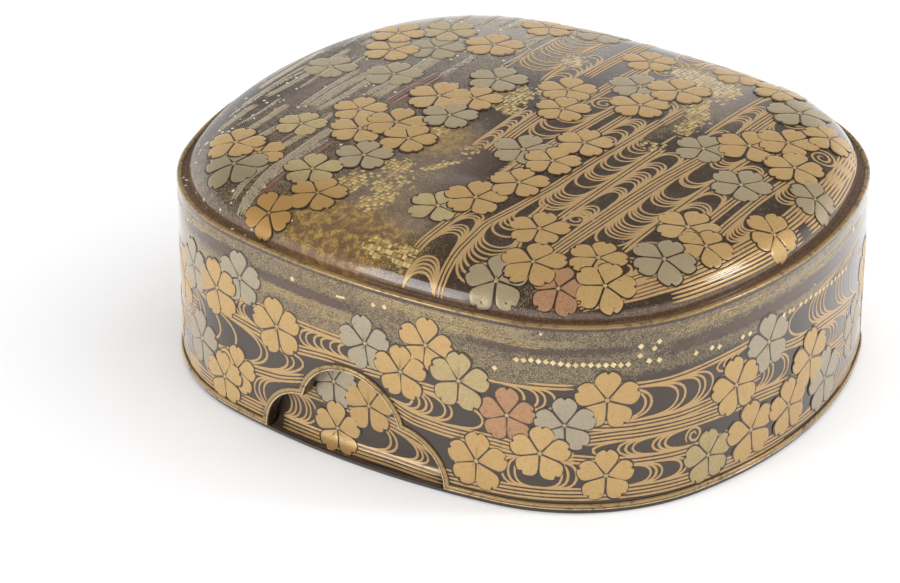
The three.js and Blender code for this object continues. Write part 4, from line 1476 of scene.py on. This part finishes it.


# %% [markdown]
# The rivers of the lid top run from front to back. Their centre lines are pairs of y and x, read from
# the picture, and the tips of the hairpins are listed river by river. Gaps in a list leave the dark
# lens shapes.

# %% Water on the lid top
LID_RIVERS = {
    "a": (2, [(50, -18.2), (30, -17.6), (16, -16.8)]),
    "b": (2, [(50, -8.6), (30, -8.6), (20, -7.8), (12, -6.5)]),
    "c": (4, [(52, -2.4), (30, -2.2), (24, -2.0)]),
    "d": (4, [(44, 4.5), (28, 4.3), (18, 4.4), (8, 3.6)]),
    "z": (1, [(6, -3.0), (-16, -2.4)]),
    "e": (4, [(10, 1.0), (0, 1.0), (-10, 1.4), (-25, 2.2)]),
    "f": (3, [(16, 10.8), (4, 10.2), (-6, 9.4), (-26, 8.8)]),
    "g": (3, [(16, 14.2), (6, 14.0), (0, 13.6)]),
    "h": (3, [
        (16, 20.4), (6, 20.0), (-6, 19.2), (-18, 18.8), (-28, 17.4), (-36, 15.6), (-44, 16.2), (-56, 17.2),
    ]),
    "i": (3, [(6, 26.4), (-8, 26.2), (-18, 26.0), (-28, 25.6)]),
    "j": (5, [(14, 34.8), (5, 33.8), (-5, 32.8), (-15, 32.3), (-25, 31.8), (-42, 30.6)]),
    "k": (2, [(14, 40.8), (0, 40.4), (-14, 40.3), (-30, 40.4)]),
    "l": (3, [(14, 46.9), (0, 46.6), (-14, 46.8)]),
    "m": (3, [(16, 50.2), (0, 49.8), (-12, 50.2), (-22, 51), (-30, 48.6), (-38, 44.5)]),
    "n": (5, [
        (34, 52.6), (24, 54.6), (12, 56.3), (0, 56.9), (-10, 56.4), (-20, 54.8), (-30, 51.8), (-38, 47.6),
        (-46, 41),
    ]),
    "o": (3, [(-24, 10.8), (-36, 9.6), (-52, 9.2)]),
    "p": (2, [(-24, 20.8), (-32, 21.6), (-40, 24.8), (-48, 25.5), (-54, 24.6)]),
    "q": (2, [(48, 29.6), (30, 29.4), (16, 29.6)]),
    "r": (5, [(48, 35.0), (38, 34.9), (26, 35.0), (16, 35.4)]),
    "s": (2, [(56, 12.0), (30, 12.0), (14, 11.6)]),
    "t": (3, [(56, 21.5), (40, 22.0), (14, 21.0)]),
    "u": (3, [(46, 42.0), (34, 43.4), (16, 43.0)]),
}
LID_HAIRPINS = [
    ("a", "b", -1, [44, 42.5, 41, 39.3, 37.5, 35.2, 33.9, 32.7, 31.4, 30.2, 28.5, 25.2, 23.5, 21.8, 20.6]),
    ("b", "c", 1, [34.5, 33, 30.5, 29, 27, 25.5, 23, 21.5]),
    ("z", "e", 1, [4, 2.8, 1.6, -1, -2.2, -3.4, -6, -7.1, -8.3, -11, -12.2, -13.4]),
    ("e", "f", -1, [7.5, 6.2, 5, 3.8, 0.5, -0.8, -3.5, -4.7, -15.8, -17, -18.3, -19.5, -21, -22.3, -23.6]),
    ("g", "h", 1, [13.2, 12.2, 11.2, 10.1, 7.2, 6.1, 3.6, 2.2]),
    ("h", "i", -1, [4.75, 3.5, 2.25, 0.8, -1.9, -3.4, -6.5, -7.75, -10.7, -11.7, -12.7, -15.9, -19.8, -20.9,
        -21.9, -23.2, -24.0, -25.2, -26.1]),
    ("i", "j", 1, [5.6, 4.7, 0.4, -0.7, -1.9, -4.4, -5.5, -6.5, -7.8, -9, -11.9, -12.9, -13.8, -20.4, -21.5,
        -22.7, -23.8, -24.8]),
    ("j", "k", -1, [8.5, 7.7, 6.4, 5.2, -2.3, -3.6, -4.2, -9.8, -11.1, -11.9, -13.2, -16.9, -18.2, -19,
        -20.2, -22.3, -23.4, -24.4, -25.5, -26.5, -27.5, -30.5]),
    ("k", "l", 1, [10.8, 9.9, 7.7, -2.2, -3.1, -7.3, -8.3, -9.4]),
    ("k", "m", 1, [-24.2, -25.3, -31, -32.2, -33.4]),
    ("m", "n", -1, [8.5, 7.4, 6.2, 5, 3.6, 2.6, -9.8, -10.7, -11.7, -12.8, -13.8, -14.8, -27.3, -28.4,
        -29.4, -30.5, -31.5, -32.3, -35, -36]),
    ("o", "h", 1, [-33.8, -34.8, -35.6, -38.4, -39.3, -40.2, -41.3, -48.6, -49.4, -50.3, -51.1, -51.9]),
    ("h", "p", -1, [-32, -33.2, -34.4, -35.6, -38, -41.5, -42.7, -44, -45.3, -46.5, -48, -49.4, -50.8]),
    ("q", "r", 1, [41, 39.8, 38.5, 33.5, 32.4, 31.3, 30.2, 27.5, 26.3, 25.1, 19.4, 18.4]),
    ("d", "s", -1, [47, 45.8, 44.5, 42.0, 40.8, 36.5, 35.2, 34, 31, 29.8, 25.0, 23.8, 22.5]),
    ("s", "t", 1, [50, 48.8, 47.6, 45, 43.8, 40.2, 39.0, 37.5, 24, 22.8, 21.5]),
    ("r", "u", -1, [36, 34.8, 33.5, 30.2, 29.0, 25.5, 24.2, 20.8]),
]
LID_SPIRALS = [(15.0, 7.9, 1), (23.0, 50.2, -1), (-26.1, 28.2, 1), (40.0, 8.4, -1)]


lid_paths = [path[:, ::-1] for path in water_paths(LID_RIVERS, LID_HAIRPINS, LID_SPIRALS)]


def rim_lines(first, last, count, start, pitch):
    """Lines that follow the outline of the lid, at even insets measured flat."""
    at = np.arange(first, last, LINE_STEP)
    return [np.stack(outline(at, -(start + step * pitch)), axis=-1) for step in range(count)]


FLAT_LEDGE = float(SHOULDER_FLAT[1])
DENSE_DUST = [field for field in DUST_FIELDS if field[-1] >= 0.7]
lid_paths += rim_lines(100, 138, 7, 0.9, 0.75)
lid_paths += rim_lines(62, 98, 4, 0.7, 0.75)


def near_field(x, y, fields, grow):
    inside = np.zeros(len(x), bool)
    for middle_x, middle_y, half_x, half_y, turn_here, *_ in fields:
        inside |= soft_patch(x, y, middle_x, middle_y, half_x * grow, half_y * grow, turn_here, 0.1) > 0.5
    return inside


def keep_on_lid(x, y):
    flat, _, _ = inset_at(x, y)
    wavy = 2.0 * np.sin(y * 0.23)
    right_of_left_field = x > -19.5 + wavy
    front_left = (x < 6 + 0.3 * wavy) & (y < -14)
    field_a = (x < -3.5) & (y < 16)
    in_field = near_field(x, y, FOIL_FIELDS, 0.9) | near_field(x, y, DENSE_DUST, 0.8)
    return (flat > FLAT_LEDGE + 0.35) & right_of_left_field & ~front_left & ~field_a & ~in_field


draw_lines("lid_top_water", lid_paths, keep_on_lid, wrap_lid_top, "lid", painted_line)

# %% [markdown]
# The left end of the lid top is the most worn. Its water was painted as long straight bands of pale and
# reddish metal, some of them dotted with light flakes. Each row of the table is one band: its place, its
# two ends, how many brush lines lie side by side in it, and its finish.

# %% Worn bands on the left
WORN_BANDS = [
    (-17.1, 42, 18, 1, 2), (-19.6, 42, 25, 3, 0), (-22.2, 44, 33, 2, 0), (-24.6, 22, 7, 2, 2),
    (-24.6, 10, -7, 1, 1), (-25.9, 10, -7, 2, 1), (-25.3, -25, -50, 1, 1), (-26.7, -25, -50, 1, 2),
    (-28.2, -21, -50, 3, 0), (-30.0, 16, -6, 3, 0), (-31.4, 16, -6, 2, 0), (-30.8, -38, -48, 2, 0),
    (-32.3, -15, -42, 2, 0), (-33.4, -15, -42, 1, 1), (-35.5, 2, -16, 2, 0), (-37.6, 8, -15, 3, 0),
    (-40.0, 4, -16, 2, 0), (-43.3, 10, 0, 1, 0), (-45.0, 9, -9, 1, 0), (-46.4, 9, -3, 2, 0),
    (-48.2, 12, -15, 2, 0), (-49.6, 0, -25, 1, 2), (-50.4, 2, -20, 1, 0), (-52.6, 10, -12, 2, 0),
    (-34.0, 46, 34, 2, 0), (-30.6, 46, 36, 2, 2), (-27.5, 48, 36, 2, 0), (-38.5, 40, 30, 2, 0),
    (-42.6, 36, 20, 2, 0), (-47.0, 30, 14, 2, 0), (-50.6, 24, 12, 1, 2), (-55.0, 8, -10, 1, 0),
    (-21.0, -6, -22, 1, 0), (-38.6, -24, -38, 2, 0), (-42.0, -16, -30, 2, 0), (-45.4, -14, -28, 1, 2),
    (-47.6, -18, -30, 2, 0),
]
BAND_PITCH = 0.66
BAND_WIDTH = 1.5


def band_paths(kind):
    paths = []
    for x, high, low, count, finish in WORN_BANDS:
        if finish != kind:
            continue
        at = np.arange(low, high, LINE_STEP)
        sway_here = 0.3 * np.sin(at * 0.16 + x) + 0.15 * np.sin(at * 0.37 + 2 * x)
        for i in range(count):
            plan_x = x + sway_here + (i - (count - 1) / 2) * BAND_PITCH
            paths.append(np.stack(flat_from_plan(plan_x, at), axis=-1))
    return paths


def keep_left(x, y):
    return inset_at(x, y)[0] > FLAT_LEDGE + 0.5


worn_names = ("worn_pale_bands", "worn_red_bands", "worn_dotted_lines")
worn_finishes = (worn_pale_band, worn_red_band, worn_white_dots)
for kind, (name, finish) in enumerate(zip(worn_names, worn_finishes)):
    draw_lines(name, band_paths(kind), keep_left, wrap_lid_top, "lid", finish, BAND_WIDTH)

# %% [markdown]
# On the walls the rivers run round the box. Their centre lines are pairs of distance along the wall and
# height. The same kinds of strokes are used, and a copy with its direction turned round decorates the far
# side of the box.

# %% Water on the lid wall
WALL_RIVERS = {
    "foot": (4, [(-60, 3.6), (20, 3.8), (50, 4.1), (75, 3.7), (100, 3.3), (122, 3.6)]),
    "rise": (3, [
        (-60, 24.4), (-45, 22.8), (-30, 20.6), (-20, 19.8), (-12, 19.6), (-5, 20.5), (8, 20.6), (20, 20.4),
        (29, 19.6),
    ]),
    "veil": (2, [(-60, 27.0), (-40, 25.6), (-20, 25.2), (0, 25.0), (14, 25.3), (44, 25.6)]),
    "left": (3, [(-60, 12.6), (-45, 12.2), (-25, 11.0), (-16, 12.2), (-10, 14.2)]),
    "right": (4, [(9, 15.2), (13, 13.6), (20, 13.0), (30, 13.0), (44, 11.2)]),
    "span": (3, [(28, 20.2), (44, 18.0), (52, 17.6), (62, 17.7), (72, 18.3), (82, 19.2)]),
    "brow": (2, [(44, 26.0), (52, 25.4), (60, 25.3), (70, 26.2), (80, 27.0)]),
    "low": (4, [
        (43, 14.9), (50, 15.7), (60, 15.7), (70, 15.5), (82, 14.9), (92, 13.6), (104, 13.2), (122, 10.5),
    ]),
    "bed": (3, [(30, 11.6), (42, 11.4), (52, 10.3), (62, 9.9), (74, 9.9), (84, 9.0)]),
    "fall": (3, [(72, 22.4), (84, 22.8), (92, 21.4), (102, 20.8), (112, 19.2), (122, 17.0)]),
    "deep": (2, [(100, 11.2), (110, 10.0), (122, 8.2)]),
}
WALL_HAIRPINS = [
    ("rise", "veil", -1, [-27.3, -26.2, -25.1, -11.1, -9.7, -7.8, -6.2, -4.2, -2.3], 1.6),
    ("left", "rise", 1, [-43.0, -38.5, -36.8, -31.7, -27.3, -20.7, -19.2, -14.1, -12.6, -10.4], 3.0),
    ("foot", "left", -1, [-44.0, -42.6, -38, -22.8, -21.6, -20.4], 1.6),
    ("foot", "left", 1, [-29.5, -28.3, -27.0, -25.8], 1.6),
    ("right", "rise", 1, [13.2, 14.7, 16.1, 17.2, 19.8, 21.1, 27.0], 2.2),
    ("rise", "veil", 1, [34.6, 37.0, 38.3, 40.0], 1.5),
    ("foot", "right", -1, [21.6, 22.6], 1.6),
    ("foot", "bed", -1, [30.6, 31.8, 33.0], 1.0),
    ("foot", "bed", 1, [41.4, 42.5, 44.0], 1.0),
    ("span", "brow", 1, [55.9, 57.0, 62.1, 63.6, 66.7, 67.9, 69.6], 2.4),
    ("bed", "low", -1, [46.6, 51.1, 52.4, 53.7, 57.4, 58.6, 59.8], 1.9),
    ("foot", "bed", 1, [57.3, 58.4, 59.5, 63.4, 64.5, 71.6, 72.8], 1.6),
    ("fall", "brow", -1, [70.4, 72.0, 73.5, 74.9], 1.5),
    ("low", "fall", 1, [82.6, 83.8, 85.1, 88.5, 89.7, 96.5, 97.8, 105.5, 107.0, 108.6, 113.5, 115.0], 2.0),
    ("fall", "mist", -1, [89.2, 95.8, 97.1, 98.4, 99.9, 101.3, 106.5, 108.0, 109.5, 114.0], 2.6),
    ("foot", "low", 1, [93.5, 95.0, 101.0, 109.0, 110.3, 111.6, 117.5], 1.8),
]
WALL_SPIRALS = [(65.8, 12.6, 1, 1.6, 0.85)]


front_paths = water_paths(WALL_RIVERS, WALL_HAIRPINS, WALL_SPIRALS)


def part_of(paths, first, last, low=0.0, high=40.0):
    """The pieces of strokes that lie in one window of the wall."""
    pieces = []
    for path in paths:
        inside = (path[:, 0] >= first) & (path[:, 0] <= last) & (path[:, 1] >= low) & (path[:, 1] <= high)
        pieces += kept_runs(path, lambda a, b, inside=inside: inside)
    return pieces


front_part = part_of(front_paths, -46.0, 121.0)
turned_part = [path * (-1, 1) + (REPEAT_AT, 0) for path in part_of(front_paths, -38.0, 119.0)]
corner_part = [path + (76.0, 0) for path in part_of(front_paths, 44.0, 75.0)]
left_part = [path + (297.0, 0) for path in part_of(front_paths, 11.0, 52.0)]
filler_part = [path + (206.0, 0) for path in part_of(front_paths, 44.0, 86.0, high=17.0)]
wall_paths = front_part + turned_part + corner_part + left_part + filler_part
BEAD_ROOM = 1.45
INTO_MIST = 0.8


def keep_on_wall(along, z):
    clear = notch_height(from_notch(along)) + FOOT_HEIGHT + BEAD_ROOM
    return (z > clear) & (z < mist_edge(along) + INTO_MIST)


draw_lines("lid_wall_water", wall_paths, keep_on_wall, wrap_wall, "lid", painted_line)

# %% [markdown]
# Inside the notches the body wall carries the same water. It also runs down over the hollow fillet, so low
# heights are taken from a table that follows the hollow, as seen from the camera. Under the lid the drawing
# is plainer.

# %% Water on the body wall
cove_turn = np.linspace(0, pi / 2, 31)
COVE_INSET = FILLET_EDGE + (FILLET_MEETS_WALL - FILLET_EDGE) * np.sin(cove_turn)
COVE_Z = FOOT_HEIGHT + FILLET_LIP + (FILLET_RISE - FILLET_LIP) * (1 - np.cos(cove_turn))
SIGHT_DROP = 0.665
SIGHT_SIDE = 0.65
COVE_DRAWN = COVE_Z - SIGHT_DROP * (BODY_INSET - COVE_INSET)
COVE_REACH = 18.6


def wrap_body_wall(along, z, height):
    """Wrap onto the body wall, and onto the hollow fillet where the drawing reaches it at the notch."""
    plain = wrap_wall(along, z, height, BODY_INSET)
    inset = np.interp(z, COVE_DRAWN, COVE_INSET)
    cove_z = np.interp(z, COVE_DRAWN, COVE_Z)
    turn_here = np.interp(z, COVE_DRAWN, cove_turn)
    side_z = FOOT_HEIGHT + notch_height(from_notch(along)) - FILLET_SIDE_GAP
    back = np.abs(np.mod(along, PERIMETER) - PERIMETER / 2) < PERIMETER / 4
    at = along + SIGHT_SIDE * (BODY_INSET - inset) * np.where(back, -1, 1)
    x, y = outline(at, height * np.sin(turn_here) - inset)
    low = np.minimum(cove_z, np.maximum(side_z, FOOT_HEIGHT)) + height * np.cos(turn_here)
    on_cove = (z < COVE_DRAWN[-1]) & (np.abs(from_notch(along)) < COVE_REACH)
    return np.where(on_cove[:, None], np.stack([x, y, low], axis=-1), plain)


BODY_RIVERS = {
    "bed": (4, [(-19.5, 1.2), (-8, 1.4), (6, 1.6), (19.5, 1.0)]),
    "swell": (4, [(-20, 9.6), (-10, 9.9), (0, 10.0), (6, 9.6), (12, 8.2), (16, 6.6), (20, 4.6)]),
    "crest": (2, [(5, 12.6), (10, 11.0), (15, 9.0), (19, 7.4)]),
}
BODY_HAIRPINS = [
    ("bed", "swell", 1, [-16.0, -14.9, -13.8, -12.3, -11.3, -10.0, 7.0, 8.3, 12.7, 13.8, 14.9, 18.5], 1.7),
    ("swell", "crest", 1, [12.0, 15.0], 1.2),
]


notch_paths = water_paths(BODY_RIVERS, BODY_HAIRPINS)
back_notch_paths = [path * (-1, 1) + (PERIMETER / 2, 0) for path in notch_paths]
around_paths = [path + (30.0, 0) for path in wall_paths]
NOTCH_WINDOW = 20.5
WINDOW_TOP = 22


def keep_on_body(along, z):
    near = np.abs(from_notch(along))
    lowest = np.where(near < 18.2, -0.35, 3.5)
    return (near < NOTCH_WINDOW) & (z > lowest) & (z < WINDOW_TOP - 0.5)


def keep_around_body(along, z):
    near = np.abs(from_notch(along))
    return ~((near < NOTCH_WINDOW) & (z < WINDOW_TOP)) & (z > 3.6) & (z < BODY_TOP_Z - 2.0)


notch_paths += back_notch_paths
draw_lines("body_wall_water", notch_paths, keep_on_body, wrap_body_wall, "body", painted_line)
draw_lines("body_side_water", around_paths, keep_around_body, wrap_body_wall, "body", painted_line)

BODY_BLOSSOMS = [
    ("s", -5.7, 13.8, 20, 5.4), ("g", 2.3, 11.4, 20, 5.4), ("g", -4.9, 4.4, 22, 5.4),
    ("s", 199.0, 12.8, 160, 5.4), ("g", 191.5, 8.6, 158, 5.4), ("g", 201.4, 4.6, 156, 5.2),
]
around_blossoms = [(tone, s + 31.0, z, turn_here, radius) for tone, s, z, turn_here, radius in wall_blossoms]


def clear_of_window(row):
    return (abs(from_notch(row[1])) > NOTCH_WINDOW + 5 or row[2] > 27) and 9.0 < row[2] < 29.0


BODY_LEVEL_STEP = 0.04
BODY_HEIGHT_SCALE = 0.8


def painted_shade_on_the_cove(x, y):
    """The hollow fillet faces upward and catches more light, so the petals on it get painted shade: their tone
    is raised toward a deeper gold.
    """
    return 0.9 * np.clip((BODY_INSET - 0.15 - inset_at(x, y)[0]) / 1.2, 0, 1)


lay_blossoms(
    "body_wall_blossoms", BODY_BLOSSOMS + [row for row in around_blossoms if clear_of_window(row)],
    wrap_body_wall, "body", 2, BODY_LEVEL_STEP, BODY_HEIGHT_SCALE, painted_shade_on_the_cove, COVE_DRAWN.tolist(),
)

# %% [markdown]
# Small squares of cut gold foil are set one by one in a row below the mist. Each is a thin tile standing on
# a corner.

# %% Foil squares
FOIL_SQUARES = [
    (33.1, 30.2), (34.4, 30.3), (35.7, 30.5), (37.0, 30.4), (38.3, 30.4), (39.5, 30.3), (40.8, 30.2),
    (42.1, 30.0), (43.4, 30.0), (44.7, 30.1), (46.0, 30.0), (47.3, 29.9), (48.6, 29.9), (49.9, 29.8),
    (51.2, 29.7), (52.5, 29.7), (54.7, 32.9), (57.2, 32.1), (58.1, 33.3), (54.6, 31.1), (56.3, 29.8),
    (58.2, 29.6), (65.5, 29.1), (69.0, 29.1), (70.7, 28.7), (76.3, 28.7), (78.1, 28.7), (87.4, 28.8),
    (89.2, 28.8), (90.3, 28.7), (92.6, 28.8), (94.4, 28.6), (96.0, 28.7), (97.8, 28.5), (99.3, 28.4),
    (101.0, 28.2), (102.4, 28.2), (104.3, 27.9), (106.0, 27.9), (107.7, 27.7), (109.5, 27.6), (111.4, 27.4),
    (5.4, 34.1), (7.7, 34.3), (29.2, 27.8), (114.6, 34.1), (-12.5, 33.6),
]
SQUARE_HALF = 0.44
SQUARE_LOW = -0.04
SQUARE_TOP = 0.10
SQUARE_SEED = 7
TOP_SHARE = 0.85


def lay_squares(name, squares, wrap, body):
    bm = bmesh.new()
    tone_layer = bm.verts.layers.float.new("tone")
    chance = np.random.default_rng(SQUARE_SEED)
    for along_here, z_here, half_long, half_tall, turn_here in squares:
        tile = bmesh.ops.create_cube(bm, size=1)["verts"]
        shade = chance.uniform(0, 1)
        spin_here = Matrix.Rotation(radians(turn_here + chance.uniform(-8, 8)), 3, "Z")
        for vert in tile:
            top = vert.co.z > 0
            shrink = TOP_SHARE if top else 1.0
            across, up = vert.co.x * 2 * half_long * shrink, vert.co.y * 2 * half_tall * shrink
            spot = spin_here @ Vector((across, up, 0))
            vert.co = (along_here + spot.x, z_here + spot.y, SQUARE_TOP if top else SQUARE_LOW)
            vert[tone_layer] = shade
    bmesh.ops.scale(bm, vec=(MM, MM, MM), verts=bm.verts)
    wrap_piece(finish_piece(bm, name, [cut_foil], body), wrap)


front_squares = [(s, z, SQUARE_HALF, SQUARE_HALF, 45) for s, z in FOIL_SQUARES] + [(-1.7, 33.5, 1.0, 0.25, 0)]
back_squares = [(REPEAT_AT - s, z, wide, tall, turn_here) for s, z, wide, tall, turn_here in front_squares]
lay_squares("wall_foil_squares", front_squares + back_squares, wrap_wall, "lid")

# %% [markdown]
# Broad strokes of gold dust drift through the mist of the lid wall. Each is a few brush lines side by side,
# with the finish of a worn band, so that it thins out at its edges and ends.

# %% Strokes in the mist
MIST_STROKES = [
    (-23, 0, 29.9, 3, -0.3), (-11, 3, 28.6, 2, 0.2), (5, 33, 35.5, 3, -0.6), (15, 40, 33.7, 2, -0.4),
    (60, 88, 34.4, 3, 0.4), (92, 124, 34.0, 2, -0.4), (-58, -30, 34.2, 3, 0.5), (140, 166, 33.2, 3, 0.4),
    (176, 205, 30.2, 3, 0.3), (212, 240, 34.0, 3, -0.4), (244, 268, 30.0, 2, 0.4), (284, 308, 34.4, 3, 0.4),
]
STROKE_PITCH = 0.5
STROKE_WIDTH = 1.1


def stroke_paths():
    paths = []
    for first, last, level, count, climb in MIST_STROKES:
        for i in range(count):
            shorter = 1.6 * abs(i - (count - 1) / 2)
            at = np.arange(first + 2 * shorter, last - 3 * shorter, LINE_STEP)
            share = (at - first) / (last - first)
            z = level + climb * share + 0.15 * np.sin(at * 0.3) + (i - (count - 1) / 2) * STROKE_PITCH
            paths.append(np.stack([at, z], axis=-1))
    return paths


def keep_in_mist(along, z):
    return (z > 26) & (z < 37)


draw_lines("mist_strokes", stroke_paths(), keep_in_mist, wrap_wall, "lid", worn_gold_band, STROKE_WIDTH)
